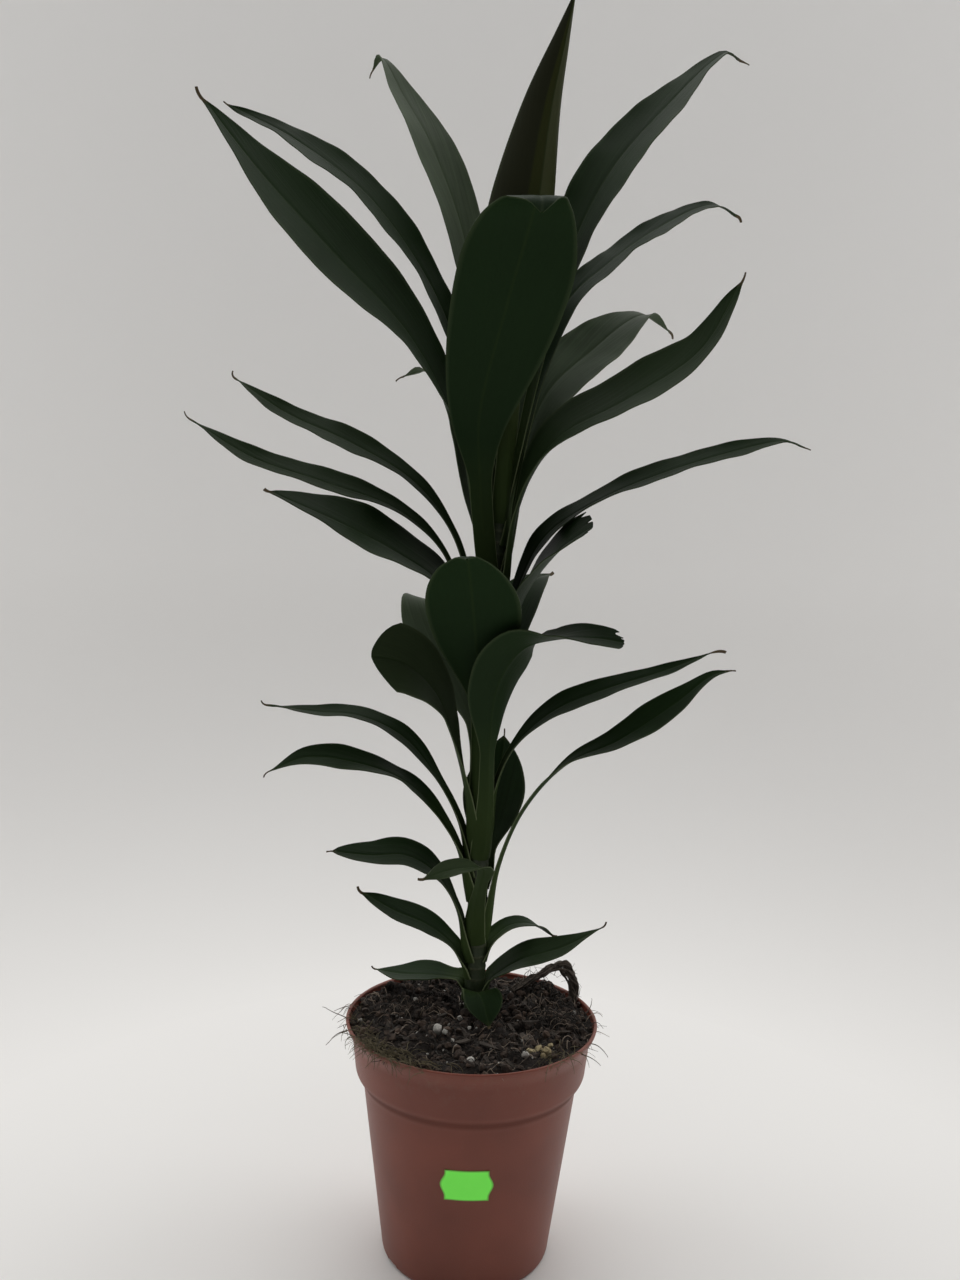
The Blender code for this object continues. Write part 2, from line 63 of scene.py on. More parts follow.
# The 13 cm nursery pot
POT_HEIGHT = 122 * MM
RIM_RADIUS = 65.0 * MM
COLLAR_TOP_RADIUS = 61.2 * MM
COLLAR_FOOT_RADIUS = 59.4 * MM
COLLAR_TOP = 113 * MM
COLLAR_FOOT = 97 * MM
BODY_TOP = 90 * MM
BODY_TOP_RADIUS = 55.1 * MM
# The middle of the painted shadow line under the collar's step
STEP_SHADOW_MIDDLE = BODY_TOP + 2.9 * MM
FOOT_RADIUS = 43.5 * MM
FOOT_EDGE = 2.5 * MM
WALL = 1.3 * MM
FLOOR = 3.2 * MM
POT_STEPS = 168
DRAIN_HOLES = 6
DRAIN_RADIUS = 4.0 * MM
DRAIN_CIRCLE = 27.0 * MM
FOOT_NOTCHES = 8
NOTCH_WIDTH = 9.0 * MM
NOTCH_HEIGHT = 2.4 * MM
NOTCH_DEPTH = 8.0 * MM
FIRST_NOTCH = math.radians(32)

# The peat that fills it
FIT_GAP = 0.3 * MM
SOIL_EDGE = 119.0 * MM
SOIL_CROWN = 122.0 * MM
SOIL_EDGE_STEEPNESS = 12
SOIL_LUMP = 5.0 * MM
SOIL_RINGS = 64
SOIL_STEPS = 168
CANE_CLEARANCE = 7 * MM
BARK_CHIPS = 90
BARK_DARK = (0.020, 0.013, 0.010)
STAINED_DARK = (0.20, 0.15, 0.07)
STAINED_LIGHT = (0.42, 0.35, 0.20)

# Its lumps, in three sizes: how many lie in a metre and their share of the height
SOIL_NOISE = ((80, 0.8), (230, 0.5), (620, 0.28))

# The arch of matted roots: its run in millimetres and what it is twisted from
ROOT_LOOP = ((17, 31, 113), (25, 31, 126), (37, 31, 133), (49, 30, 139), (55, 28, 127), (51, 25, 112))
ROOT_LOOP_RADIUS = 2.6 * MM
ARCH_STRANDS = 24
ARCH_STEPS = 60
ARCH_HAIRS = 150

# On the peat, in millimetres to the right and to the back: heaps with their reach and height,
# mats of fibre with their reach and number, and large grains of white perlite and of perlite
# stained with age, with their size
HEAPS = ((-18, 50, 9, 5.0), (-54, 8, 10, 3.5), (38, 30, 12, 4.5), (54, -8, 9, 3.0), (-20, -30, 9, 2.5))
MATS = ((47, -4, 9, 190), (-44, 8, 9, 150), (34, 24, 9, 110), (-20, 46, 8, 80), (14, -34, 12, 70))
LARGE_GRAINS = ((-17, -22, 5.6), (-13, -25, 3.4), (0, -53, 4.6), (26, -47, 3.8), (-30, 12, 3.2),
                (-6, -8, 3.0))
OLD_GRAINS = ((29, -39, 4.6), (33, -35, 5.2), (37, -38, 4.2), (35, -43, 3.6), (39, -31, 3.2))

# The share of the fibres that is dry and pale
DRY_SHARE = 0.22

# At the rim, in degrees from the right: groups of moss with their spread and number of strands,
# and root hairs with their rise in degrees and their length in millimetres
MOSS = ((-136, 14, 300), (-178, 8, 14), (-48, 4, 40))
ROOT_HAIRS = ((168, 10, 15.6), (186, 18, 20.8), (196, 4, 18.2), (206, 30, 13.0), (10, 22, 13.0),
              (24, 34, 15.6), (-22, 6, 15.6), (-34, 2, 15.6), (96, 60, 18.2), (120, 48, 15.6),
              (62, 40, 13.0))

# The cane: height, then its place to the right and to the back
STEM_LINE = ((72, 1.2, 8.0), (118, 1.2, 8.0), (200, 1.2, 9.0), (300, 2.2, 10.0), (382, 6.2, 11.0))
STEM_RADIUS_FOOT = 5.7 * MM
STEM_RADIUS_TOP = 4.0 * MM
STEM_SWELL = 0.25 * MM
SCAR_SPACING = 6 * MM
STEM_RING = 1.6 * MM
STEM_SIDES = 32

# What all leaves share: the sheath and stalk, the waves of the edge, the groove at the midrib,
# the shares of the length where the roll starts and is full, and how fine the grid is
SEAT_GAP = 0.45 * MM
NECK_HALF = 2.2 * MM
NECK_SHARE = 0.075
SHEATH_HALF = 8.6 * MM
SHEATH_LENGTH = 24 * MM
TIP_HALF = 0.45 * MM
FIRST_RISE = 7 * MM
FIRST_LEAN = 1.4 * MM
STALK_BEND = 48
WAVE_LENGTH = 55 * MM
RIPPLE_LENGTH = 19 * MM
RIPPLE = 0.25 * MM
GROOVE_DEPTH = 0.30 * MM
GROOVE_HALF = 0.9 * MM
GROOVE_FULL = 6 * MM
ROLL_START = 0.08
ROLL_FULL = 0.15
STATIONS = 480
LEAF_COLUMNS = 22
LEAF_ROW = 2.6 * MM
HAIR_ROW = 0.9 * MM
HAIR_STEPS = 24
HAIR_HALF = 0.22 * MM
CROWDING = 1.35

# The price tag stuck on the front of the pot
TAG_LENGTH = 26 * MM
TAG_HEIGHT = 16 * MM
TAG_MIDDLE = 60.5 * MM
TAG_INSET = 2.2 * MM
TAG_INSET_RUN = 0.8
TAG_LIFT = 0.12 * MM
TAG_CORNER_LIFT = 0.5 * MM
TAG_COLUMNS = 40
TAG_ROWS = 24

# The camera, matched to the photograph's perspective
CAMERA_PLACE = (-0.0018, -0.546, 0.359)
CAMERA_PITCH = math.radians(-4.3)
CAMERA_ROLL = math.radians(1.8)
CAMERA_LENS = 30.4

# The pale card round the plant: it lies flat and then sweeps up
FLOOR_REACH = 2.0
WALL_FOOT = 0.34
WALL_SWEEP = 0.30
WALL_TOP = 3.0
STAGE_STEPS = 96

# The soft lamps: name, place, width and share of the power
LAMPS = (("left_lamp", (-1.5, 0.2, 1.2), 1.2, 1.0), ("right_lamp", (1.5, 0.3, 1.1), 1.2, 0.9),
         ("top_lamp", (0.0, 0.3, 2.0), 1.8, 1.3))
LAMP_AIM = (0.0, 0.0, 0.25)
SKY_TINT = (1.0, 0.985, 0.965, 1.0)


class Leaf(NamedTuple):
    """One leaf: lengths in millimetres and angles in degrees.

    node is the height where it leaves the cane and azimuth the way it points: 0 is right,
    90 back, 180 left and -90 front. width is that of the blade and stalk the share of the
    length that is stalk. arc is the run of its midrib: distance from the cane, height above
    the ground and, where it has one, a drift to its own left. roll turns the blade about its
    midrib from stalk to tip, cup is the angle of each half's curl in the blade and at the tip,
    and wave the height of its edge waves. kept is the share that is left of a leaf that lost
    its tip, broadest the share of the blade where it is widest, and power how pointed its ends
    are: the lower it is, the blunter they are. tone names its colour, where grey is a lighter
    green that paints on the sheen of a leaf facing the sky, and crease is the fold at the
    midrib. hair is the length of the dry hair at the tip and how far it curls up, end how
    much of a rounded or torn end is gone at its edges, and pale how light it is, or below 0 how
    dark: partly the leaf's own colour, partly painted light on a leaf that others shade and
    painted shade against a sheen that is too bright.
    """

    name: str
    node: float
    azimuth: float
    width: float
    stalk: float
    arc: tuple
    roll: tuple = (0, 0)
    cup: tuple = (18, 11)
    wave: float = 0.7
    kept: float = 1.0
    broadest: float = 0.52
    power: float = 0.9
    tone: str = "dark"
    crease: float = 4.0
    hair: tuple = (4, 25)
    end: tuple = (0.0, 0.0)
    pale: float = 0.09


# A leaf's pale value is partly painted light and shade, and the grey tone is a painted sheen
LEAVES = (
    Leaf("leaf_01", 126, -84, 20, 0.15, ((12, 135, 1), (19, 132, 3), (26, 124.5, 5)), wave=0.3,
         hair=(2, 20)),
    Leaf("leaf_02", 129, 152, 24, 0.15, ((14, 136), (30, 134), (46, 131), (62, 130)), (-6, -6),
         hair=(4, 60)),
    Leaf("leaf_03", 129, -2, 22, 0.06, ((10, 140), (25, 150), (45, 157), (65, 168)), (5, 18, 20),
         broadest=0.30, hair=(5, 60), pale=0.25),
    Leaf("leaf_04", 148, 29, 12, 0.20, ((11, 159), (20, 164), (33, 163), (47, 155)), (0, 5, 0)),
    Leaf("leaf_05", 139, 170, 20, 0.20, ((13.5, 156), (27, 165), (45, 171), (62, 179)), (-5, -20, -16),
         power=0.8, hair=(5, 60)),
    Leaf("leaf_06", 148, 186, 24, 0.30, ((11, 175), (22, 194), (38, 204), (56, 204), (76, 206)),
         (-5, -20, -18), broadest=0.60, power=0.6, hair=(3, -10)),
    Leaf("leaf_07", 158, -112, 15, 0.42, ((9, 178, 2), (12, 193, 6), (18, 203, 9), (31, 205, 0),
                                         (46, 203, -10)), (0, -10, -24), pale=0.7),
    Leaf("leaf_08", 160, -10, 21, 0.44, ((11.5, 199), (23.5, 230), (44, 255), (70, 269), (98, 290),
                                        (114, 304), (123, 307)), (0, 0, -8, 26, 40, 38), hair=(3, -20)),
    Leaf("leaf_09", 180, 193, 22, 0.28, ((12, 208), (24, 229), (42, 245), (66, 254), (90, 257),
                                        (108, 250)), (0, -40, -12, -26, -34), hair=(4, -60)),
    Leaf("leaf_10", 193, 171, 18, 0.28, ((12, 222), (24, 244), (42, 264), (66, 274), (92, 275),
                                        (117, 277)), (0, -20, -14, -6), hair=(5, 70)),
    Leaf("leaf_11", 186, 62, 37, 0.22, ((9, 206), (15, 224), (20, 240), (24, 254), (26, 264)),
         broadest=0.50, power=0.8),
    Leaf("leaf_12", 212, 5, 18, 0.28, ((8.5, 240), (17, 262), (37, 281), (64, 293), (94, 303),
                                      (119, 313)), (0, 20, 30, 20), broadest=0.32, hair=(8, -40)),
    Leaf("leaf_13", 208, 205, 41, 0.28, ((9, 236), (16.2, 263), (26, 288), (42, 304), (60, 309),
                                        (76, 307)), (0, -30, -52, -62), kept=0.90, broadest=0.76,
         power=1.1, end=(0.10, 0.0), pale=0.7),
    Leaf("leaf_14", 203, -67, 38, 0.28, ((9, 235), (12, 268, -1), (17, 295, 0), (25, 314, 9),
                                        (33, 320, 24), (41, 321, 42), (48, 318, 60), (53, 313, 72)),
         (0, 15, 20, 12), kept=0.895, broadest=0.42, power=1.1, end=(0.02, 0.02)),
    Leaf("leaf_15", 226, 110, 44, 0.30, ((9, 262), (19, 290, 5), (33, 315, 13), (47, 331, 14),
                                        (61, 334, 9), (74, 325, 3)), broadest=0.52, power=0.8,
         tone="grey"),
    Leaf("leaf_16", 224, -97, 47, 0.34, ((8.5, 258), (13, 292, -1), (27, 327, -3), (49, 351, -3),
                                        (66, 359, -2), (74, 358, -1)), cup=(8, -15), wave=0.3,
         broadest=0.53, power=1.0, crease=0.0, hair=(0, 0), pale=0.0),
    Leaf("leaf_17", 262, 54, 28, 0.25, ((9, 290), (17, 316), (29, 337), (43, 348), (57, 351)),
         (0, 10, 0), broadest=0.62),
    Leaf("leaf_18", 284, 4, 23, 0.08, ((10, 320), (17, 349), (30, 373), (58, 392), (92, 407),
                                      (128, 419), (150, 424), (162, 421)), (0, 20, 16, 28, 34),
         broadest=0.60, hair=(3, -10)),
    Leaf("leaf_19", 270, -28, 42, 0.20, ((11, 300), (19, 336), (37, 362), (60, 378), (90, 395)),
         (0, 24, 30), kept=0.76, end=(0.03, 0.05)),
    Leaf("leaf_20", 290, 203, 48, 0.14, ((12, 318), (27, 345), (50, 360), (78, 373), (114, 387)),
         (0, -28, -33, -28), broadest=0.56, power=0.8, hair=(3, 20)),
    Leaf("leaf_21", 302, 181, 23, 0.28, ((12, 330), (26, 363), (50, 383), (86, 395), (122, 406),
                                        (154, 424)), (0, -24, -30, -30), hair=(6, 50), pale=0.2),
    Leaf("leaf_22", 313, 164, 20, 0.28, ((11, 340), (22, 372), (44, 398), (80, 418), (116, 433),
                                        (148, 452)), (0, -20, -34, -30), hair=(6, 90), pale=0.2),
    Leaf("leaf_23", 324, 115, 34, 0.25, ((10, 350), (18, 390), (27, 430), (40, 452, 10),
                                        (51, 459, 20), (58, 456, 29)), tone="grey", hair=(5, -40)),
    Leaf("leaf_24", 318, -20, 48, 0.28, ((10.6, 346, -2.4), (14.4, 384, -2.4), (31, 418),
                                        (67, 438), (101, 460), (119, 491)), (0, 32, 38, 50),
         broadest=0.46, hair=(5, 20), pale=0.25),
    Leaf("leaf_25", 332, 41, 38, 0.22, ((11, 364), (18, 408), (33, 445), (66, 473), (106, 499),
                                       (131, 494)), (0, 20, 30, 10), tone="grey", hair=(5, -90),
         pale=-0.25),
    Leaf("leaf_26", 330, -92, 53, 0.28, ((8.5, 356, -3), (14, 394, -7), (26, 430, -8), (50, 476, 4),
                                        (66, 506, 13), (77, 514, 16), (87, 511, 18), (91, 504, 18)),
         cup=(10, -9), wave=0.3, broadest=0.66, crease=0.0, hair=(0, 0), pale=0.0),
    Leaf("leaf_27", 338, 201, 52, 0.25, ((10.5, 366), (21.5, 420), (48, 466), (88, 502), (121, 532),
                                        (148, 561)), (0, -40, -55, -45), wave=0.5, broadest=0.60,
         hair=(6, 30)),
    Leaf("leaf_28", 350, 166, 28, 0.25, ((9, 380), (17, 432), (32, 485), (70, 540), (114, 574),
                                        (154, 595)), (0, -24, -22, -32, -40), broadest=0.60,
         hair=(3, 10)),
    Leaf("leaf_29", 351, 41, 19, 0.25, ((10.5, 380), (20, 432), (42, 491), (76, 522), (120, 552),
                                       (162, 573), (190, 573)), (0, 30, 32, 15, 30, 24), tone="grey",
         hair=(5, -80), pale=-1.0),
    Leaf("leaf_30", 365, 20, 38, 0.28, ((8.5, 392), (18, 446), (34, 513), (56, 560), (89, 600),
                                       (119, 630), (130, 629)), (0, 20, 30, 20), broadest=0.58,
         hair=(6, -15)),
    Leaf("leaf_31", 368, 136, 30, 0.25, ((8, 396), (13, 440), (20, 482), (33, 530), (58, 578),
                                        (83, 612), (101, 636), (108, 631)), (0, -10, -10, 0),
         wave=0.3, broadest=0.62, tone="grey", hair=(4, -40)),
    Leaf("leaf_32", 377, -60, 56, 0.30, ((7, 400), (12, 450), (19, 500, 2), (21, 540, 5),
                                        (21, 580, 10), (25, 610, 14), (28, 637, 18)),
         cup=(50, 60), wave=0, broadest=0.22, power=1.1, tone="spear", crease=14.0, hair=(0, 0)),
    Leaf("leaf_33", 296, 86, 34, 0.25, ((11, 328), (20, 376), (42, 412), (76, 430), (112, 424))),
    Leaf("leaf_34", 342, 112, 36, 0.25, ((10, 374), (19, 418, -2), (36, 460, -5), (66, 490, -9),
                                        (104, 496, -14))),
)


# Settings that a user would change

def colour_setting(name, description, default):
    return FloatVectorProperty(name=name, description=description, default=default,
                               subtype="COLOR", size=3, min=0, max=1)


def share_setting(name, description, default):
    return FloatProperty(name=name, description=description, default=default,
                         subtype="FACTOR", min=0, max=1)


def length_setting(name, description, default, least, most):
    return FloatProperty(name=name, description=description, default=default,
                         unit="LENGTH", min=least, max=most)


def count_setting(name, description, default, most):
    return IntProperty(name=name, description=description, default=default, min=0, max=most)


class PotSettings(bpy.types.PropertyGroup):
    """The finish of the nursery pot."""

    colour: colour_setting("Plastic", "Colour of the moulded plastic", (0.190, 0.049, 0.029))
    dust_colour: colour_setting("Dust", "Colour of the dried peat dust on it", (0.21, 0.13, 0.095))
    roughness: share_setting("Roughness", "How matte the plastic is", 0.42)
    scuffs: share_setting("Scuffs", "How strongly the fine scratches show", 0.35)


class SoilSettings(bpy.types.PropertyGroup):
    """The peat and what lies in it."""

    colour: colour_setting("Peat", "Colour of the damp peat", (0.013, 0.0085, 0.006))
    fibre_colour: colour_setting("Fibres", "Colour of the plant fibres", (0.190, 0.150, 0.115))
    moss_colour: colour_setting("Moss", "Colour of the moss at the rim", (0.17, 0.138, 0.070))
    perlite_colour: colour_setting("Perlite", "Colour of the perlite grains", (0.62, 0.60, 0.55))
    crumbs: count_setting("Crumbs", "Number of loose crumbs of peat", 2000, 4000)
    grains: count_setting("Perlite Grains", "Number of small perlite grains", 80, 600)
    fibres: count_setting("Fibres", "Number of loose fibres outside the mats", 520, 1500)
    seed: count_setting("Seed", "Start of the random draws", 7, 1000)


class CaneSettings(bpy.types.PropertyGroup):
    """The young cane."""

    colour: colour_setting("Cane", "Colour of the cane's bark", (0.030, 0.048, 0.016))
    scar_colour: colour_setting("Scars", "Colour of the leaf scars", (0.070, 0.080, 0.038))


class LeafSettings(bpy.types.PropertyGroup):
    """The leaves."""

    thickness: length_setting("Thickness", "Thickness of a blade", 0.00055, 0.0003, 0.001)
    vein_spacing: length_setting("Vein Spacing", "Distance between fine veins", 0.0011, 0.0003, 0.005)
    dark_colour: colour_setting("Dark Leaf", "Colour of the dark leaves", (0.0075, 0.0185, 0.0055))
    # Painted sheen: a lighter, greyer green that stands in for the sheen of leaves that face the sky
    painted_sheen_colour: colour_setting("Grey Leaf", "Colour of the greyer leaves", (0.046, 0.064, 0.037))
    # A leaf nears this by its pale value: partly its own lighter colour, partly painted light where
    # other leaves shade it
    pale_colour: colour_setting("Pale Leaf", "Colour that a light leaf nears", (0.075, 0.098, 0.052))
    spear_colour: colour_setting("Spear", "Colour of the rolled young leaf", (0.017, 0.018, 0.0085))
    spear_side_colour: colour_setting("Spear Side", "Colour of its lighter side", (0.034, 0.040, 0.013))
    stalk_colour: colour_setting("Stalk", "Colour of the leaf stalks", (0.036, 0.058, 0.018))
    edge_colour: colour_setting("Stalk Edge", "Colour of the stalks' thin edges", (0.20, 0.24, 0.13))
    dry_colour: colour_setting("Dry Tip", "Colour of the dry hair at a tip", (0.10, 0.075, 0.045))
    roughness: share_setting("Roughness", "How matte the blades are", 0.45)


class TagSettings(bpy.types.PropertyGroup):
    """The blank paper tag."""

    colour: colour_setting("Paper", "Colour of the fluorescent paper", (0.16, 0.80, 0.075))
    edge_colour: colour_setting("Cut Edge", "Colour of the paper's cut edge", (0.10, 0.30, 0.04))
    thickness: length_setting("Thickness", "Thickness of the paper", 0.00022, 0.0001, 0.0005)
    glow: share_setting("Glow", "Light that the fluorescent paper adds", 0.30)


class StageSettings(bpy.types.PropertyGroup):
    """The floor, the backdrop and the light."""

    colour: colour_setting("Floor", "Colour of the floor and backdrop", (0.80, 0.79, 0.775))
    sky: FloatProperty(name="Sky", description="Brightness of the soft light from above and behind",
                       min=0, max=3, default=0.90)
    fill: FloatProperty(name="Fill", description="Brightness of the dim room in front of the plant",
                        min=0, max=3, default=0.12)
    wall_glow: share_setting("Wall Glow", "Light that the backdrop itself gives off", 0.10)
    lamp: FloatProperty(name="Lamps", description="Power of each large soft lamp",
                        unit="POWER", min=0, max=500, default=7)


# Nodes and materials

def tint(colour, factor, lift=0.0):
    """A darker or lighter shade of a colour."""
    return tuple(min(1.0, factor * part + lift) for part in colour)


def feed(tree, node, inputs):
    """Gives inputs of a node each a value or the socket that feeds it."""
    for name, value in inputs.items():
        if isinstance(value, bpy.types.NodeSocket):
            tree.links.new(value, node.inputs[name])
        else:
            node.inputs[name].default_value = value


def new_node(tree, kind, inputs=None, **settings):
    """A node of a kind with its settings, and with values or sockets at its inputs."""
    node = tree.nodes.new(kind)
    for name, value in settings.items():
        setattr(node, name, value)
    feed(tree, node, inputs or {})
    return node


def calc(tree, operation, *values):
    return new_node(tree, "ShaderNodeMath", dict(enumerate(values)), operation=operation).outputs[0]


def blend(tree, share, first, second):
    """A colour between two others, each a socket or its red, green and blue."""
    ends = [end if isinstance(end, bpy.types.NodeSocket) else (*end, 1.0) for end in (first, second)]
    inputs = {0: share, 6: ends[0], 7: ends[1]}
    return new_node(tree, "ShaderNodeMix", inputs, data_type="RGBA").outputs[2]


def spread(tree, value, low, high, to_low=0.0, to_high=1.0, curve="LINEAR"):
    """Stretches low to high onto another range and stops at its ends."""
    inputs = {"Value": value, "From Min": low, "From Max": high, "To Min": to_low, "To Max": to_high}
    return new_node(tree, "ShaderNodeMapRange", inputs, interpolation_type=curve).outputs["Result"]


def noise_value(tree, place, scale, detail, roughness=0.5):
    inputs = {"Vector": place, "Scale": scale, "Detail": detail, "Roughness": roughness}
    return new_node(tree, "ShaderNodeTexNoise", inputs).outputs[0]


def object_place(tree):
    return new_node(tree, "ShaderNodeTexCoord").outputs["Object"]


def height_above_ground(tree):
    return new_node(tree, "ShaderNodeSeparateXYZ", {0: object_place(tree)}).outputs["Z"]


def attribute(tree, name, output="Vector"):
    return new_node(tree, "ShaderNodeAttribute", attribute_name=name).outputs[output]


def new_group(name, inputs, outputs):
    """A node group with its named inputs, each with a default, and its named outputs."""
    group = bpy.data.node_groups.new(name, "ShaderNodeTree")
    for label, default in inputs.items():
        socket = group.interface.new_socket(label, in_out="INPUT", socket_type="NodeSocketFloat")
        socket.default_value = default
    for label in outputs:
        group.interface.new_socket(label, in_out="OUTPUT", socket_type="NodeSocketFloat")
    return group, group.nodes.new("NodeGroupInput").outputs, group.nodes.new("NodeGroupOutput")


def from_group(tree, group, inputs):
    return new_node(tree, "ShaderNodeGroup", inputs, node_tree=group).outputs


def new_material(name):
    """An empty material with its tree and its shader."""
    material = bpy.data.materials.new(name)
    material.use_nodes = True
    return material, material.node_tree, material.node_tree.nodes["Principled BSDF"]


def bump(tree, shader, height, depth):
    """Feeds the shader a bump: height is 0 to 1 and depth its real size."""
    inputs = {"Height": height, "Distance": depth, "Strength": 1.0}
    feed(tree, shader, {"Normal": new_node(tree, "ShaderNodeBump", inputs).outputs["Normal"]})


def mottle_group():
    """Soft blotches of one size and fine grain of another."""
    name = "mottle"
    if name in bpy.data.node_groups:
        return bpy.data.node_groups[name]
    group, given, result = new_group(
        name, {"Blotch Scale": 30.0, "Grain Scale": 900.0}, ("Blotches", "Grain"))
    place = object_place(group)
    blotches = noise_value(group, place, given["Blotch Scale"], 3.0)
    grain = noise_value(group, place, given["Grain Scale"], 2.0, 0.6)
    feed(group, result, {"Blotches": spread(group, blotches, 0.3, 0.7), "Grain": grain})
    return group


def mottled(tree, blotch_scale, grain_scale):
    return from_group(tree, mottle_group(), {"Blotch Scale": blotch_scale, "Grain Scale": grain_scale})


def blade_group():
    """Masks that follow a leaf, from its veins and midrib to its lightness and its one side."""
    name = "leaf_blade"
    if name in bpy.data.node_groups:
        return bpy.data.node_groups[name]
    group, given, result = new_group(
        name, {"Vein Spacing": 0.0011},
        ("Veins", "Midrib", "Edge", "Stalk", "Under", "Dry", "Pale", "Side"))
    share, across, along = new_node(
        group, "ShaderNodeSeparateXYZ", {0: attribute(group, "leaf_place")}).outputs
    stalk, under, dry = new_node(
        group, "ShaderNodeSeparateXYZ", {0: attribute(group, "leaf_part")}).outputs
    pale, draw, _ = new_node(
        group, "ShaderNodeSeparateXYZ", {0: attribute(group, "leaf_tone")}).outputs
    # Veins leave the midrib at a narrow angle and run forward to the edge
    aside = calc(group, "ABSOLUTE", across)
    slant = calc(group, "SUBTRACT", aside, calc(group, "MULTIPLY", along, 0.10))
    strand = calc(group, "DIVIDE", slant, given["Vein Spacing"])
    run = calc(group, "MULTIPLY", along, 22.0)
    lines = new_node(group, "ShaderNodeCombineXYZ", {0: strand, 1: run, 2: draw}).outputs[0]
    feed(group, result, {
        "Veins": noise_value(group, lines, 1.0, 2.0, 0.65),
        "Midrib": spread(group, aside, 0.0003, 0.0011, 1.0, 0.0),
        "Edge": spread(group, calc(group, "ABSOLUTE", share), 0.90, 0.99),
        "Stalk": stalk,
        "Under": under,
        "Dry": dry,
        "Pale": pale,
        "Side": spread(group, share, -0.26, -0.20),
    })
    return group


def plastic_material(settings):
    """Moulded matte plastic: fine grain, faint scratches, dust near the rim, painted shadow under the
    step.
    """
    material, tree, shader = new_material("moulded_plastic")
    place = object_place(tree)
    height = height_above_ground(tree)
    mottle = mottled(tree, 26.0, 1800.0)
    plain = blend(tree, mottle["Blotches"], tint(settings.colour, 0.86), tint(settings.colour, 1.12))
    drawn_out = new_node(tree, "ShaderNodeMapping", {"Vector": place, "Scale": (1.0, 1.0, 0.14)})
    streaks = noise_value(tree, drawn_out.outputs[0], 240.0, 4.0, 0.7)
    worn = calc(tree, "MULTIPLY", spread(tree, streaks, 0.64, 0.76), settings.scuffs)
    dust = spread(tree, noise_value(tree, place, 160.0, 5.0, 0.7), 0.52, 0.75)
    dusty = calc(tree, "MULTIPLY", dust, spread(tree, height, COLLAR_FOOT + 1 * MM, POT_HEIGHT))
    # Painted shadow: a soft dark line just under the step below the collar, where its overhang casts
    # shade
    from_step = calc(tree, "ABSOLUTE", calc(tree, "SUBTRACT", height, STEP_SHADOW_MIDDLE))
    step_shadow = spread(tree, from_step, 1.0 * MM, 3.4 * MM, 0.5, 0.0)
    colour = blend(tree, calc(tree, "MULTIPLY", worn, 0.35), plain, settings.dust_colour)
    colour = blend(tree, calc(tree, "MULTIPLY", dusty, 0.55), colour, settings.dust_colour)
    colour = blend(tree, step_shadow, colour, tint(settings.colour, 0.3))
    rough = calc(tree, "MULTIPLY_ADD", mottle["Grain"], 0.16, settings.roughness - 0.06)
    rough = calc(tree, "MULTIPLY_ADD", dusty, 0.25, rough)
    rough = calc(tree, "MULTIPLY_ADD", step_shadow, 0.7, rough)
    feed(tree, shader, {"Base Color": colour, "Roughness": rough, "Specular IOR Level": 0.4})
    bump(tree, shader, calc(tree, "MULTIPLY_ADD", worn, -0.6, mottle["Grain"]), 0.00008)
    return material


def crumb_material(name, dark, light, roughness=0.95, scale=300.0):
    """Crumbly matter: its colour varies from lump to lump and over each lump."""
    material, tree, shader = new_material(name)
    mottle = mottled(tree, scale, 2600.0)
    draw = calc(tree, "MULTIPLY", attribute(tree, "draw", "Fac"), 0.6)
    share = calc(tree, "MULTIPLY_ADD", mottle["Blotches"], 0.5, draw)
    rough = spread(tree, mottle["Grain"], 0.3, 0.7, roughness - 0.12, roughness)
    feed(tree, shader, {"Base Color": blend(tree, share, dark, light), "Roughness": rough})
    bump(tree, shader, mottle["Grain"], 0.0004)
    return material


def peat_material(settings):
    """Damp peat: near black in blotches, with browner specks."""
    material, tree, shader = new_material("peat")
    mottle = mottled(tree, 140.0, 1500.0)
    specks = spread(tree, noise_value(tree, object_place(tree), 620.0, 3.0, 0.7), 0.45, 0.72)
    colour = blend(tree, mottle["Blotches"], tint(settings.colour, 0.6), tint(settings.colour, 1.5))
    colour = blend(tree, calc(tree, "MULTIPLY", specks, 0.7), colour, tint(settings.colour, 2.6))
    feed(tree, shader, {"Base Color": colour, "Roughness": 0.93})
    bump(tree, shader, calc(tree, "ADD", mottle["Grain"], specks), 0.0009)
    return material


def cane_material(settings):
    """Green bark with paler rings where leaves have been."""
    material, tree, shader = new_material("cane_bark")
    mottle = mottled(tree, 90.0, 1400.0)
    turns = calc(tree, "MULTIPLY", height_above_ground(tree), 2 * math.pi / SCAR_SPACING)
    rings = spread(tree, calc(tree, "SINE", turns), 0.55, 0.98)
    scars = calc(tree, "MULTIPLY", rings, mottle["Blotches"])
    colour = blend(tree, mottle["Blotches"], tint(settings.colour, 0.75), settings.colour)
    colour = blend(tree, scars, colour, settings.scar_colour)
    rough = spread(tree, mottle["Grain"], 0.3, 0.7, 0.45, 0.62)
    feed(tree, shader, {"Base Color": colour, "Roughness": rough})
    bump(tree, shader, calc(tree, "ADD", mottle["Grain"], scars), 0.00025)
    return material


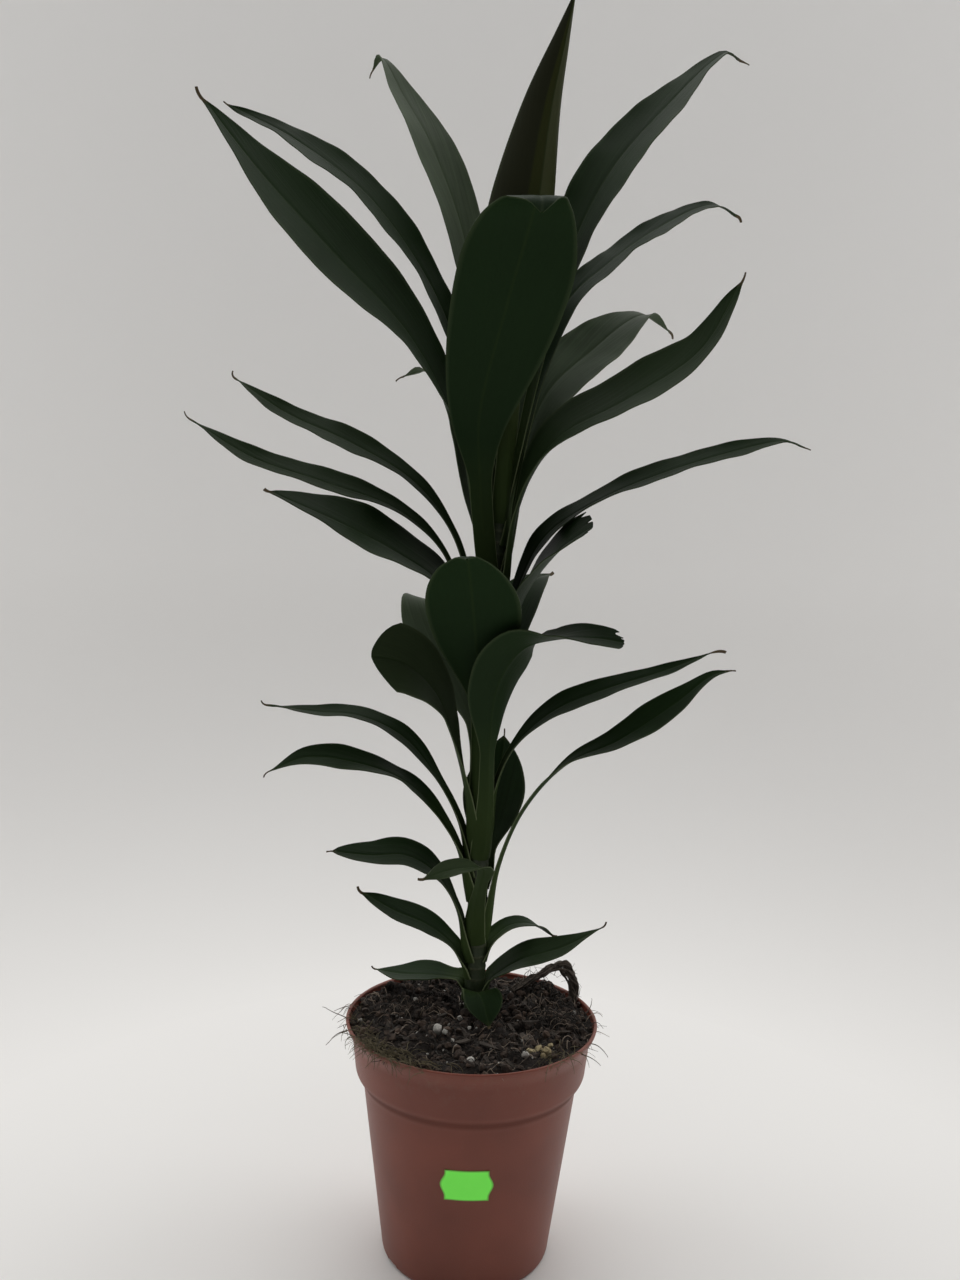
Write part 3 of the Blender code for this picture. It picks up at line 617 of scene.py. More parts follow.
def leaf_material(name, colour, settings, under_tint=1.45, side_colour=None):
    """A satin blade with fine veins, a paler underside and a yellow-green stalk with pale edges.

    A leaf that is still rolled up has one side of another colour.
    """
    material, tree, shader = new_material(name)
    blade = from_group(tree, blade_group(), {"Vein Spacing": settings.vein_spacing})
    mottle = mottled(tree, 22.0, 1500.0)
    green = blend(tree, mottle["Blotches"], tint(colour, 0.80), tint(colour, 1.22))
    lined = calc(tree, "MULTIPLY", spread(tree, blade["Veins"], 0.40, 0.75), 0.30)
    green = blend(tree, lined, green, tint(colour, 2.0))
    under = calc(tree, "MULTIPLY", blade["Under"], 0.75)
    green = blend(tree, under, green, tint(colour, under_tint, 0.004))
    # Painted light and shade: Pale above 0 lightens a leaf, partly its own colour and partly light for a
    # leaf that others shade; below 0 it darkens a leaf as painted shade against its sheen
    lighter = calc(tree, "MULTIPLY", calc(tree, "MAXIMUM", blade["Pale"], 0.0), 0.6)
    green = blend(tree, lighter, green, settings.pale_colour)
    deeper = calc(tree, "MAXIMUM", calc(tree, "MULTIPLY", blade["Pale"], -1.0), 0.0)
    green = blend(tree, deeper, green, settings.dark_colour)
    if side_colour:
        green = blend(tree, blade["Side"], green, side_colour)
    halfway = [(one + other) / 2 for one, other in zip(colour, settings.stalk_colour)]
    green = blend(tree, calc(tree, "MULTIPLY", blade["Midrib"], 0.45), green, halfway)
    green = blend(tree, blade["Stalk"], green, settings.stalk_colour)
    thin = calc(tree, "MULTIPLY", blade["Edge"], calc(tree, "MULTIPLY_ADD", blade["Stalk"], 0.75, 0.12))
    green = blend(tree, thin, green, settings.edge_colour)
    green = blend(tree, blade["Dry"], green, settings.dry_colour)
    rough = calc(tree, "MULTIPLY_ADD", blade["Veins"], 0.14, settings.roughness - 0.07)
    rough = calc(tree, "MULTIPLY_ADD", blade["Under"], 0.10, rough)
    feed(tree, shader, {"Base Color": green, "Roughness": rough, "Specular IOR Level": 0.035})
    bump(tree, shader, calc(tree, "MULTIPLY_ADD", mottle["Grain"], 0.35, blade["Veins"]), 0.00016)
    return material


def paper_material(settings):
    """Fluorescent paper with a fine tooth and a darker cut edge."""
    material, tree, shader = new_material("tag_paper")
    mottle = mottled(tree, 200.0, 4000.0)
    plain = blend(tree, mottle["Blotches"], tint(settings.colour, 0.94), settings.colour)
    edge = spread(tree, attribute(tree, "edge", "Fac"), 0.90, 0.99)
    colour = blend(tree, edge, plain, settings.edge_colour)
    rough = spread(tree, mottle["Grain"], 0.3, 0.7, 0.5, 0.62)
    feed(tree, shader, {"Base Color": colour, "Roughness": rough, "Emission Color": colour,
                        "Emission Strength": settings.glow})
    bump(tree, shader, mottle["Grain"], 0.00003)
    return material


def stage_material(name, settings):
    """Plain pale card with the faintest unevenness."""
    material, tree, shader = new_material(name)
    mottle = mottled(tree, 2.5, 400.0)
    colour = blend(tree, mottle["Blotches"], tint(settings.colour, 0.985), settings.colour)
    feed(tree, shader, {"Base Color": colour, "Roughness": 0.85})
    return material, tree, shader


def backdrop_material(settings):
    """The same card, lit a little from within above the floor and clear when seen from outside."""
    material, tree, shader = stage_material("pale_backdrop", settings)
    glow = spread(tree, height_above_ground(tree), 0.0, 0.35, 0.0, settings.wall_glow)
    colour = new_node(tree, "ShaderNodeCombineColor", {0: glow, 1: glow, 2: glow}).outputs[0]
    feed(tree, shader, {"Emission Color": colour, "Emission Strength": 1.0})
    clear = new_node(tree, "ShaderNodeBsdfTransparent").outputs[0]
    behind = new_node(tree, "ShaderNodeNewGeometry").outputs["Backfacing"]
    mixed = new_node(tree, "ShaderNodeMixShader", {0: behind, 1: shader.outputs[0], 2: clear})
    feed(tree, tree.nodes["Material Output"], {"Surface": mixed.outputs[0]})
    return material


# Shapes

def new_object(name, shape):
    """A shape as an object of the scene."""
    mesh = bpy.data.meshes.new(name)
    shape.to_mesh(mesh)
    shape.free()
    thing = bpy.data.objects.new(name, mesh)
    bpy.context.scene.collection.objects.link(thing)
    return thing


def put(name, shape, material, replaced=(), sharp_from=None):
    """Makes a shape a piece of the plant that rides on its only body.

    It is shaded smooth. Where sharp_from is given, edges past that angle in degrees stay sharp.
    """
    piece = new_object(name, shape)
    piece.data.shade_smooth()
    if sharp_from is not None:
        piece.data.set_sharp_from_angle(angle=math.radians(sharp_from))
    piece.data.materials.append(material)
    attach(piece, BODY)
    if replaced:
        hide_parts(*replaced)


def evaluated_shape(thing):
    """What an object's modifiers or a curve's thickness make of it, as a new shape."""
    bpy.context.view_layer.update()
    evaluated = thing.evaluated_get(bpy.context.evaluated_depsgraph_get())
    shape = bmesh.new()
    shape.from_mesh(evaluated.to_mesh())
    evaluated.to_mesh_clear()
    return shape


def rounded(points, radius, steps):
    """A line through points with each of its bends rounded by a short curve."""
    line = [Vector(point) for point in points]
    result = [line[0]]
    for before, here, after in zip(line, line[1:], line[2:]):
        reach = min(radius, (here - before).length / 2.2, (after - here).length / 2.2)
        start = here + (before - here).normalized() * reach
        stop = here + (after - here).normalized() * reach
        for i in range(steps + 1):
            t = i / steps
            result.append(start * (1 - t) ** 2 + here * 2 * t * (1 - t) + stop * t ** 2)
    return result + [line[-1]]


def lathe(profile, steps):
    """Spins a profile of (radius, height) about the pot's axis."""
    shape = bmesh.new()
    verts = [shape.verts.new((radius, 0.0, height)) for radius, height in profile]
    edges = [shape.edges.new(pair) for pair in zip(verts, verts[1:])]
    bmesh.ops.spin(shape, geom=verts + edges, cent=(0, 0, 0), axis=(0, 0, 1), dvec=(0, 0, 0),
                   angle=2 * math.pi, steps=steps, use_merge=True, use_duplicate=False)
    bmesh.ops.remove_doubles(shape, verts=shape.verts, dist=0.002 * MM)
    bmesh.ops.recalc_face_normals(shape, faces=shape.faces)
    return shape


def cut_away(shape, cutter):
    """What is left of a closed shape when a cutter is taken from it."""
    whole = new_object("whole", shape)
    taken = new_object("taken", cutter)
    boolean = whole.modifiers.new("cut", "BOOLEAN")
    boolean.operation = "DIFFERENCE"
    boolean.object = taken
    left = evaluated_shape(whole)
    for thing in (whole, taken):
        mesh = thing.data
        bpy.data.objects.remove(thing, do_unlink=True)
        bpy.data.meshes.remove(mesh)
    return left


def around(count, radius, start=0.0):
    """Points evenly spaced on a circle on the ground about the pot's axis."""
    angles = [start + 2 * math.pi * i / count for i in range(count)]
    return [Vector((radius * math.cos(a), radius * math.sin(a), 0.0)) for a in angles]


def pot_outer_radius(height):
    return float(np.interp(height, (FOOT_EDGE, BODY_TOP), (FOOT_RADIUS, BODY_TOP_RADIUS)))


def pot_bends():
    """The bends of the pot's outside from the lip down."""
    return [
        (RIM_RADIUS - 0.5 * MM, POT_HEIGHT),
        (RIM_RADIUS, POT_HEIGHT - 0.5 * MM),
        (RIM_RADIUS - 0.4 * MM, POT_HEIGHT - 2.2 * MM),
        (COLLAR_TOP_RADIUS + 1.0 * MM, COLLAR_TOP + 2.5 * MM),
        (COLLAR_TOP_RADIUS, COLLAR_TOP),
        (COLLAR_FOOT_RADIUS, COLLAR_FOOT),
        (COLLAR_FOOT_RADIUS - 0.8 * MM, COLLAR_FOOT - 2.0 * MM),
        (BODY_TOP_RADIUS + 0.8 * MM, BODY_TOP + 1.6 * MM),
        (BODY_TOP_RADIUS, BODY_TOP - 1.0 * MM),
        (FOOT_RADIUS, FOOT_EDGE),
        (FOOT_RADIUS - 0.7 * MM, 0.8 * MM),
        (FOOT_RADIUS - 2.0 * MM, 0.0),
    ]


def pot_inside():
    """The bends of the pot's inner wall from the floor up."""
    inside = [(radius - WALL, height) for radius, height in pot_bends()[2:9]]
    inside.append((pot_outer_radius(FLOOR) - WALL, FLOOR))
    return inside[::-1]


def inner_radius(height):
    rows = pot_inside()
    return float(np.interp(height, [h for _, h in rows], [r for r, _ in rows]))


def pot_cutter():
    """The drain holes in the pot's floor and the notches in its foot, as one cutter."""
    cutter = bmesh.new()
    for spot in around(DRAIN_HOLES, DRAIN_CIRCLE):
        made = bmesh.ops.create_cone(cutter, cap_ends=True, segments=32, radius1=DRAIN_RADIUS,
                                     radius2=DRAIN_RADIUS, depth=4 * FLOOR)
        bmesh.ops.translate(cutter, verts=made["verts"], vec=spot)
    for spot in around(FOOT_NOTCHES, FOOT_RADIUS, start=FIRST_NOTCH):
        made = bmesh.ops.create_cube(cutter, size=1.0)
        size = Vector((NOTCH_DEPTH, NOTCH_WIDTH, 2 * NOTCH_HEIGHT))
        bmesh.ops.scale(cutter, verts=made["verts"], vec=size)
        turn = Vector((1, 0, 0)).rotation_difference(spot.normalized()).to_matrix()
        bmesh.ops.rotate(cutter, verts=made["verts"], matrix=turn)
        bmesh.ops.translate(cutter, verts=made["verts"], vec=spot)
    return cutter


def pot_shape():
    brim = [(RIM_RADIUS - 1.9 * MM, POT_HEIGHT - 0.4 * MM)]
    profile = [(0.0, FLOOR)] + pot_inside() + brim + pot_bends() + [(0.0, 0.0)]
    return cut_away(lathe(rounded(profile, 1.2 * MM, 3), POT_STEPS), pot_cutter())


def soil_height(x, y):
    """The rough, slightly mounded surface of the peat, with its heaps."""
    distance = math.hypot(x, y) / RIM_RADIUS
    mound = SOIL_EDGE + (SOIL_CROWN - SOIL_EDGE) * (1 - distance ** 2)
    for right, back, reach, height in HEAPS:
        away = math.hypot(x - right * MM, y - back * MM) / (reach * MM)
        mound += height * MM * math.exp(-away ** 2)
    rough = 0.0
    for layer, (scale, share) in enumerate(SOIL_NOISE):
        rough += share * noise.noise(Vector((x, y, 0.01 * layer)) * scale)
    return mound + SOIL_LUMP * rough


def soil_top(x, y):
    """The height of the peat, which sinks to its edge at the pot's wall."""
    rim = inner_radius(SOIL_EDGE) - FIT_GAP
    share = min(1.0, max(0.0, SOIL_EDGE_STEEPNESS * (1 - math.hypot(x, y) / rim)))
    return SOIL_EDGE + share * (soil_height(x, y) - SOIL_EDGE)


def soil_shape():
    """A turned fill with a rough top and a plain hole for the cane."""
    heights = [height for _, height in pot_inside() if FLOOR < height < SOIL_EDGE]
    heights = [SOIL_EDGE] + heights[::-1] + [FLOOR + FIT_GAP]
    wall = [(inner_radius(height) - FIT_GAP, height) for height in heights]
    top = [(wall[0][0] * i / SOIL_RINGS, SOIL_EDGE) for i in range(SOIL_RINGS)]
    shape = lathe(top + wall + [(0.0, FLOOR + FIT_GAP)], SOIL_STEPS)
    for vert in shape.verts:
        if vert.co.z > SOIL_EDGE - 0.1 * MM:
            vert.co.z = soil_top(vert.co.x, vert.co.y)
    foot = STEM_LINE[0][0] * MM
    reach = 60 * MM
    x, y = cane_place(foot)
    hole = bmesh.new()
    radius = STEM_RADIUS_FOOT + STEM_SWELL + FIT_GAP
    made = bmesh.ops.create_cone(hole, cap_ends=True, segments=32, radius1=radius, radius2=radius,
                                 depth=reach)
    bmesh.ops.translate(hole, verts=made["verts"], vec=(x, y, foot - FIT_GAP + reach / 2))
    return cut_away(shape, hole)


def small_mesh(name, shape):
    """A mesh to be scattered: each of its copies carries a random draw for its material."""
    mesh = bpy.data.meshes.new(name)
    shape.to_mesh(mesh)
    shape.free()
    mesh.attributes.new("draw", "FLOAT", "POINT")
    return mesh


def lump(seed, segments=1, roughness=0.35):
    """A small angular lump, one across."""
    shape = bmesh.new()
    bmesh.ops.create_icosphere(shape, subdivisions=segments, radius=0.5)
    for vert in shape.verts:
        vert.co *= 1 + roughness * noise.noise(vert.co * 3 + Vector((seed, 0, 0)))
    return small_mesh("lump", shape)


def chip(seed):
    """A flat splinter of bark, one long."""
    shape = bmesh.new()
    bmesh.ops.create_cube(shape, size=1.0)
    bmesh.ops.scale(shape, verts=shape.verts, vec=(1.0, 0.42, 0.16))
    bmesh.ops.subdivide_edges(shape, edges=shape.edges, cuts=1, use_grid_fill=True)
    for vert in shape.verts:
        vert.co *= 1 + 0.5 * noise.noise(vert.co * 4 + Vector((0, seed, 0)))
    return small_mesh("chip", shape)


def empty_heap():
    """A shape without faces that small meshes are scattered into."""
    shape = bmesh.new()
    shape.verts.layers.float.new("draw")
    return shape


def scatter(shape, mesh, place, size, turn, draw):
    """Adds a copy of a small mesh to a shape, placed, sized and turned."""
    copy = mesh.copy()
    scale = Matrix.Diagonal((*size, 1.0))
    copy.transform(Matrix.Translation(place) @ turn.to_4x4() @ scale)
    copy.attributes["draw"].data.foreach_set("value", [draw] * len(copy.vertices))
    shape.from_mesh(copy)
    bpy.data.meshes.remove(copy)


def any_turn(draws, tilt=math.pi):
    """A random turn, tilted by no more than tilt."""
    about = Matrix.Rotation(draws.uniform(0, 2 * math.pi), 3, "Z")
    lean = Matrix.Rotation(draws.uniform(-tilt, tilt), 3, "X")
    return about @ lean @ Matrix.Rotation(draws.uniform(0, 2 * math.pi), 3, "Z")


def soil_spot(draws, outermost=0.985):
    """A random place on the peat, clear of the cane."""
    rim = inner_radius(SOIL_EDGE) * outermost
    cane_x, cane_y = cane_place(SOIL_CROWN)
    while True:
        x = draws.uniform(-rim, rim)
        y = draws.uniform(-rim, rim)
        if math.hypot(x, y) < rim and math.hypot(x - cane_x, y - cane_y) > CANE_CLEARANCE:
            return x, y


def strands_shape(paths, sides=0):
    """Thin round strands along paths of (place, radius), as one mesh with closed ends."""
    curve = bpy.data.curves.new("strands", "CURVE")
    curve.dimensions = "3D"
    curve.bevel_depth = 1.0
    curve.bevel_resolution = sides
    curve.use_fill_caps = True
    for path in paths:
        spline = curve.splines.new("POLY")
        spline.points.add(len(path) - 1)
        for point, (place, radius) in zip(spline.points, path):
            point.co = (*place, 1.0)
            point.radius = radius
    guide = bpy.data.objects.new("strands", curve)
    bpy.context.scene.collection.objects.link(guide)
    shape = evaluated_shape(guide)
    bpy.data.objects.remove(guide, do_unlink=True)
    bpy.data.curves.remove(curve)
    bmesh.ops.remove_doubles(shape, verts=shape.verts, dist=0.001 * MM)
    bmesh.ops.recalc_face_normals(shape, faces=shape.faces)
    return shape


def wander(draws, start, heading, length, radius, steps, curl, hug=True, droop=0.0, pile=2.6):
    """A strand that wanders from a start, on the peat if it hugs it, and thins to its end.

    A strand on the peat arches up by as much as pile, in millimetres.
    """
    place = Vector(start)
    heading = Vector(heading).normalized()
    bend = Vector((draws.gauss(0, 1), draws.gauss(0, 1), draws.gauss(0, 0.5))) * curl
    path = []
    lift = draws.uniform(0.0, pile) * MM
    for i in range(steps + 1):
        share = i / steps
        path.append((tuple(place), radius * (1.0 - 0.65 * share)))
        jolt = Vector((draws.gauss(0, 0.25), draws.gauss(0, 0.25), draws.gauss(0, 0.15)))
        heading = heading + bend * (1.0 / steps) + jolt * curl - Vector((0, 0, droop / steps))
        heading.normalize()
        place = place + heading * (length / steps)
        if hug:
            arch = lift * math.sin(math.pi * (i + 1) / steps)
            place.z = soil_top(place.x, place.y) + radius * 0.6 + arch
    return path


def smooth_path(points, count):
    """Even steps along a smooth curve through the points, and its length."""
    points = np.array(points, float)
    reach = np.linalg.norm(np.diff(points, axis=0), axis=1)
    knots = np.concatenate([[0], np.cumsum(np.sqrt(reach))])
    slopes = np.empty_like(points)
    slopes[1:-1] = (points[2:] - points[:-2]) / (knots[2:] - knots[:-2])[:, None]
    slopes[0] = (points[1] - points[0]) / (knots[1] - knots[0])
    slopes[-1] = (points[-1] - points[-2]) / (knots[-1] - knots[-2])
    fine = np.linspace(0, knots[-1], 3 * STATIONS)
    i = np.clip(np.searchsorted(knots, fine, side="right") - 1, 0, len(knots) - 2)
    span = (knots[i + 1] - knots[i])[:, None]
    t = ((fine - knots[i]) / (knots[i + 1] - knots[i]))[:, None]
    curve = ((2 * t**3 - 3 * t**2 + 1) * points[i] + (t**3 - 2 * t**2 + t) * span * slopes[i]
             + (3 * t**2 - 2 * t**3) * points[i + 1] + (t**3 - t**2) * span * slopes[i + 1])
    run = np.concatenate([[0], np.cumsum(np.linalg.norm(np.diff(curve, axis=0), axis=1))])
    even = np.linspace(0, run[-1], count + 1)
    return np.stack([np.interp(even, run, curve[:, k]) for k in range(3)], axis=1), run[-1]


def cane_place(height):
    """The cane's middle at a height."""
    heights, right, back = (np.array(STEM_LINE) * MM).T
    return float(np.interp(height, heights, right)), float(np.interp(height, heights, back))


def cane_radius(height):
    foot, top = STEM_LINE[0][0] * MM, STEM_LINE[-1][0] * MM
    share = (height - foot) / (top - foot)
    return STEM_RADIUS_FOOT + (STEM_RADIUS_TOP - STEM_RADIUS_FOOT) * share


def cane_shape():
    """Rings stacked along the cane, a little wider at each old leaf scar."""
    foot, top = STEM_LINE[0][0] * MM, STEM_LINE[-1][0] * MM
    count = round((top - foot) / STEM_RING)
    shape = bmesh.new()
    made = bmesh.ops.create_circle(shape, cap_ends=False, segments=STEM_SIDES, radius=1.0)
    ring = made["verts"]
    bmesh.ops.translate(shape, verts=ring, vec=(0, 0, foot))
    rings = [ring]
    edges = list(shape.edges)
    for i in range(count):
        out = bmesh.ops.extrude_edge_only(shape, edges=edges)["geom"]
        ring = [part for part in out if isinstance(part, bmesh.types.BMVert)]
        edges = [part for part in out if isinstance(part, bmesh.types.BMEdge)]
        bmesh.ops.translate(shape, verts=ring, vec=(0, 0, (top - foot) / count))
        rings.append(ring)
    for i, ring in enumerate(rings):
        height = foot + (top - foot) * i / count
        x, y = cane_place(height)
        scar = STEM_SWELL * max(0.0, math.sin(2 * math.pi * height / SCAR_SPACING)) ** 3
        for vert in ring:
            rough = 0.12 * MM * noise.noise(Vector(vert.co) * 3 + Vector((0, 0, height * 300)))
            radius = cane_radius(height) + scar + rough - (0.5 * MM if i in (0, count) else 0)
            vert.co = (x + vert.co.x * radius, y + vert.co.y * radius, height)
    bmesh.ops.holes_fill(shape, edges=shape.edges, sides=STEM_SIDES)
    bmesh.ops.recalc_face_normals(shape, faces=shape.faces)
    return shape


def hair_length(leaf):
    """A leaf that lost its tip has no dry hair."""
    return leaf.hair[0] * MM if leaf.kept == 1.0 else 0.0


def with_hair(leaf, along, path, side, length):
    """The stations with those of the dry hair added, which curls in the plane of the midrib."""
    hair = hair_length(leaf)
    if not hair:
        return along, path
    heading = path[-1] - path[-2]
    heading /= np.linalg.norm(heading)
    across = side - (heading @ side) * heading
    lift = np.cross(heading, across / np.linalg.norm(across))
    turns = math.radians(leaf.hair[1]) * np.linspace(0, 1, HAIR_STEPS) ** 1.4
    steps = np.cos(turns)[:, None] * heading + np.sin(turns)[:, None] * lift
    path = np.concatenate([path, path[-1] + np.cumsum(steps, axis=0) * hair / HAIR_STEPS])
    return np.concatenate([along, 1 + hair / length * np.arange(1, HAIR_STEPS + 1) / HAIR_STEPS]), path


def leaf_frames(leaf, thickness):
    """Stations along a leaf: their place, the way across it and the way its face looks.

    The share along the leaf is 1 where the blade ends, and more in the hair.
    """
    node = leaf.node * MM
    x, y = cane_place(node)
    turn = math.radians(leaf.azimuth)
    out = np.array([math.cos(turn), math.sin(turn), 0.0])
    side = np.array([-math.sin(turn), math.cos(turn), 0.0])
    up = np.array([0.0, 0.0, 1.0])
    seat = cane_radius(node) + STEM_SWELL + SEAT_GAP + thickness / 2
    spots = [(seat, node, 0.0), (seat + FIRST_LEAN, node + FIRST_RISE, 0.0)]
    spots += [tuple(v * MM for v in (*spot, 0.0)[:3]) for spot in leaf.arc]
    axis = np.array([x, y, 0.0])
    points = [axis + spot[0] * out + spot[1] * up + spot[2] * side for spot in spots]
    path, length = smooth_path(points, STATIONS)
    along, path = with_hair(leaf, np.linspace(0, 1, STATIONS + 1), path, side, length)
    forward = np.gradient(path, axis=0)
    forward /= np.linalg.norm(forward, axis=1)[:, None]
    across = side - (forward @ side)[:, None] * forward
    across /= np.linalg.norm(across, axis=1)[:, None]
    face = np.cross(forward, across)
    stops = np.linspace(ROLL_START, 1, len(leaf.roll))
    roll = np.interp(along, stops, leaf.roll) * np.clip(along / ROLL_FULL, 0, 1)
    roll = np.radians(roll)[:, None]
    across, face = (across * np.cos(roll) + face * np.sin(roll),
                    face * np.cos(roll) - across * np.sin(roll))
    return along, path, across, face, length, seat


def leaf_half_width(leaf, along, length):
    """Half a leaf's width: a sheath round the cane, a channelled stalk and a pointed blade."""
    neck = NECK_HALF + NECK_SHARE * leaf.width * MM
    share = np.clip((along - leaf.stalk) / (1 - leaf.stalk), 0, 1)
    swell = np.interp(share, [0, leaf.broadest, 1], [0, 0.5, 1])
    blade = np.sin(math.pi * swell) ** leaf.power * leaf.width * MM / 2
    sheath = (SHEATH_HALF - neck) * np.exp(-(along * length / SHEATH_LENGTH) ** 2)
    stalk = neck * np.clip(1 - share, 0, 1) + np.maximum(sheath, 0)
    whole = (blade ** 2.5 + stalk ** 2.5) ** 0.4
    tail = np.interp(along, [0.97, 1.0, 1.02], [TIP_HALF, TIP_HALF, HAIR_HALF])
    return np.maximum(whole, tail)


def leaf_rows(leaf, length):
    """Shares along the leaf for its rows: even in the blade and close in the hair."""
    blade = np.linspace(0, leaf.kept, round(length * leaf.kept / LEAF_ROW) + 1)
    hair = hair_length(leaf)
    if not hair:
        return blade
    count = max(2, round(hair / HAIR_ROW))
    return np.concatenate([blade, 1 + hair / length * np.arange(1, count + 1) / count])


def leaf_grid(leaf, length):
    """The points of a leaf's grid: where they lie between its edges and how far along it.

    The first runs from -1 at one edge to 1 at the other and crowds at the midrib. A rounded or
    torn end falls short of its row.
    """
    even = np.linspace(-1, 1, LEAF_COLUMNS + 1)
    edgeward = np.sign(even) * np.abs(even) ** CROWDING
    draws = random.Random(leaf.name)
    jag = np.array([draws.uniform(-1, 1) for _ in edgeward])
    gone = leaf.end[0] * edgeward ** 2 + leaf.end[1] * np.clip(jag + 0.4 * edgeward, 0, 1)
    rows = leaf_rows(leaf, length)[:, None]
    return edgeward, rows * (1 - gone * (rows / leaf.kept) ** 6)


def cross_section(leaf, edgeward, along, half, opened, seat):
    """How far the points lie beside the midrib and above it: each half is bent on an arc."""
    hug = math.degrees(SHEATH_HALF / seat)
    bend = np.radians(np.interp(along, [0, leaf.stalk * 0.6, leaf.stalk + 0.22, 1],
                                [hug, STALK_BEND, *leaf.cup]))
    crease = np.radians(leaf.crease) * opened
    turned = crease + bend * np.abs(edgeward)
    reach = np.sign(edgeward) * half / bend * (np.sin(turned) - np.sin(crease))
    rise = half / bend * (np.cos(crease) - np.cos(turned))
    return reach, rise


def edge_waves(leaf, edgeward, run):
    """Long waves and short ripples that grow towards the edges and differ from side to side."""
    phase = 0.5 * (edgeward > 0) + leaf.azimuth / 90
    wave = leaf.wave * MM * edgeward ** 2 * np.sin(2 * math.pi * (run / WAVE_LENGTH + phase))
    turns = 2 * math.pi * (run / RIPPLE_LENGTH + 3 * phase)
    return wave + leaf.wave * RIPPLE * np.abs(edgeward) ** 3 * np.sin(turns)


def leaf_masks(leaf, along, run, length):
    """Where the leaf is stalk, with 0 for the upper side, and where it is dry."""
    start = leaf.stalk * length
    stalk = 1 - np.clip((run - 0.35 * start) / (0.9 * start + 10 * MM), 0, 1)
    dry = np.clip((along - 0.995) * length / (1.5 * MM), 0, 1) * (leaf.hair[0] > 0)
    return np.stack([stalk, np.zeros_like(run), dry], axis=-1)


def read_off(values, stations, along):
    """Values known at stations along a leaf, at the points of its grid."""
    return np.stack([np.interp(along, stations, column) for column in values.T], axis=-1)


def leaf_surface(leaf, thickness):
    """The middle surface of a leaf as a grid, with what its material needs at each point."""
    stations, path, across, face, length, seat = leaf_frames(leaf, thickness)
    edgeward, along = leaf_grid(leaf, length)
    run = along * length
    half = leaf_half_width(leaf, along, length)
    aside = half * edgeward
    opened = np.clip((along - leaf.stalk) * 4, 0, 1)
    reach, rise = cross_section(leaf, edgeward, along, half, opened, seat)
    groove = GROOVE_DEPTH * np.exp(-(aside / GROOVE_HALF) ** 2) * np.clip(half / GROOVE_FULL, 0, 1)
    lift = rise + edge_waves(leaf, edgeward, run) * opened - groove
    points = (read_off(path, stations, along) + read_off(across, stations, along) * reach[..., None]
              + read_off(face, stations, along) * lift[..., None])
    place = np.stack([np.broadcast_to(edgeward, run.shape), aside, run], axis=-1)
    return points, place, leaf_masks(leaf, along, run, length)


def leaf_shape(leaf, thickness):
    """A flat grid bent onto the leaf's surface, then given its thickness."""
    points, place, part = leaf_surface(leaf, thickness)
    rows, columns = points.shape[0] - 1, points.shape[1] - 1
    shape = bmesh.new()
    places = shape.verts.layers.float_vector.new("leaf_place")
    parts = shape.verts.layers.float_vector.new("leaf_part")
    tones = shape.verts.layers.float_vector.new("leaf_tone")
    draw = random.Random(leaf.name).uniform(0, 9)
    bmesh.ops.create_grid(shape, x_segments=columns, y_segments=rows, size=0.5)
    for vert in shape.verts:
        column = round((vert.co.x + 0.5) * columns)
        row = round((vert.co.y + 0.5) * rows)
        vert.co = points[row, column]
        vert[places] = place[row, column]
        vert[parts] = part[row, column]
        vert[tones] = (leaf.pale, draw, 0.0)
    shape.normal_update()
    for vert in shape.verts:
        vert.co -= vert.normal * (thickness / 2)
    made = bmesh.ops.solidify(shape, geom=shape.faces[:] + shape.edges[:] + shape.verts[:],
                              thickness=thickness)
    upper = {part for part in made["geom"] if isinstance(part, bmesh.types.BMVert)}
    for vert in shape.verts:
        if vert not in upper:
            stalk, _, dry = vert[parts]
            vert[parts] = (stalk, 1.0, dry)
    bmesh.ops.recalc_face_normals(shape, faces=shape.faces)
    return shape


def tag_shape(thickness):
    """A grid bent onto the pot's front, with short sides that curve in above and below."""
    shape = bmesh.new()
    edges = shape.verts.layers.float.new("edge")
    bmesh.ops.create_grid(shape, x_segments=TAG_COLUMNS, y_segments=TAG_ROWS, size=0.5)
    for vert in shape.verts:
        across, up = vert.co.x, vert.co.y
        height = TAG_MIDDLE + up * TAG_HEIGHT
        inset = min(1.0, abs(2 * up) / TAG_INSET_RUN)
        half = TAG_LENGTH / 2 - TAG_INSET * (1 - math.cos(math.pi * inset)) / 2
        corner = abs(2 * across) ** 6 * abs(2 * up) ** 6
        radius = pot_outer_radius(height) + TAG_LIFT + TAG_CORNER_LIFT * corner
        turn = -math.pi / 2 + 2 * across * half / radius
        vert.co = (radius * math.cos(turn), radius * math.sin(turn), height)
        vert[edges] = max(abs(2 * across), abs(2 * up))
    bmesh.ops.recalc_face_normals(shape, faces=shape.faces)
    bmesh.ops.solidify(shape, geom=shape.faces[:] + shape.edges[:] + shape.verts[:],
                       thickness=thickness)
    bmesh.ops.recalc_face_normals(shape, faces=shape.faces)
    return shape


# Operators, one for each piece or group of like pieces

class CORDYLINE_OT_pot(bpy.types.Operator):
    """Model the nursery pot"""

    bl_idname = "cordyline.pot"
    bl_label = "Pot"

    def execute(self, context):
        material = plastic_material(context.scene.cordyline_pot)
        put("pot_shell", pot_shape(), material, ["pot"], sharp_from=40)
        return {"FINISHED"}


class CORDYLINE_OT_soil(bpy.types.Operator):
    """Model the peat that fills the pot"""

    bl_idname = "cordyline.soil"
    bl_label = "Peat"

    def execute(self, context):
        material = peat_material(context.scene.cordyline_soil)
        put("peat_fill", soil_shape(), material, ["soil"], sharp_from=70)
        return {"FINISHED"}


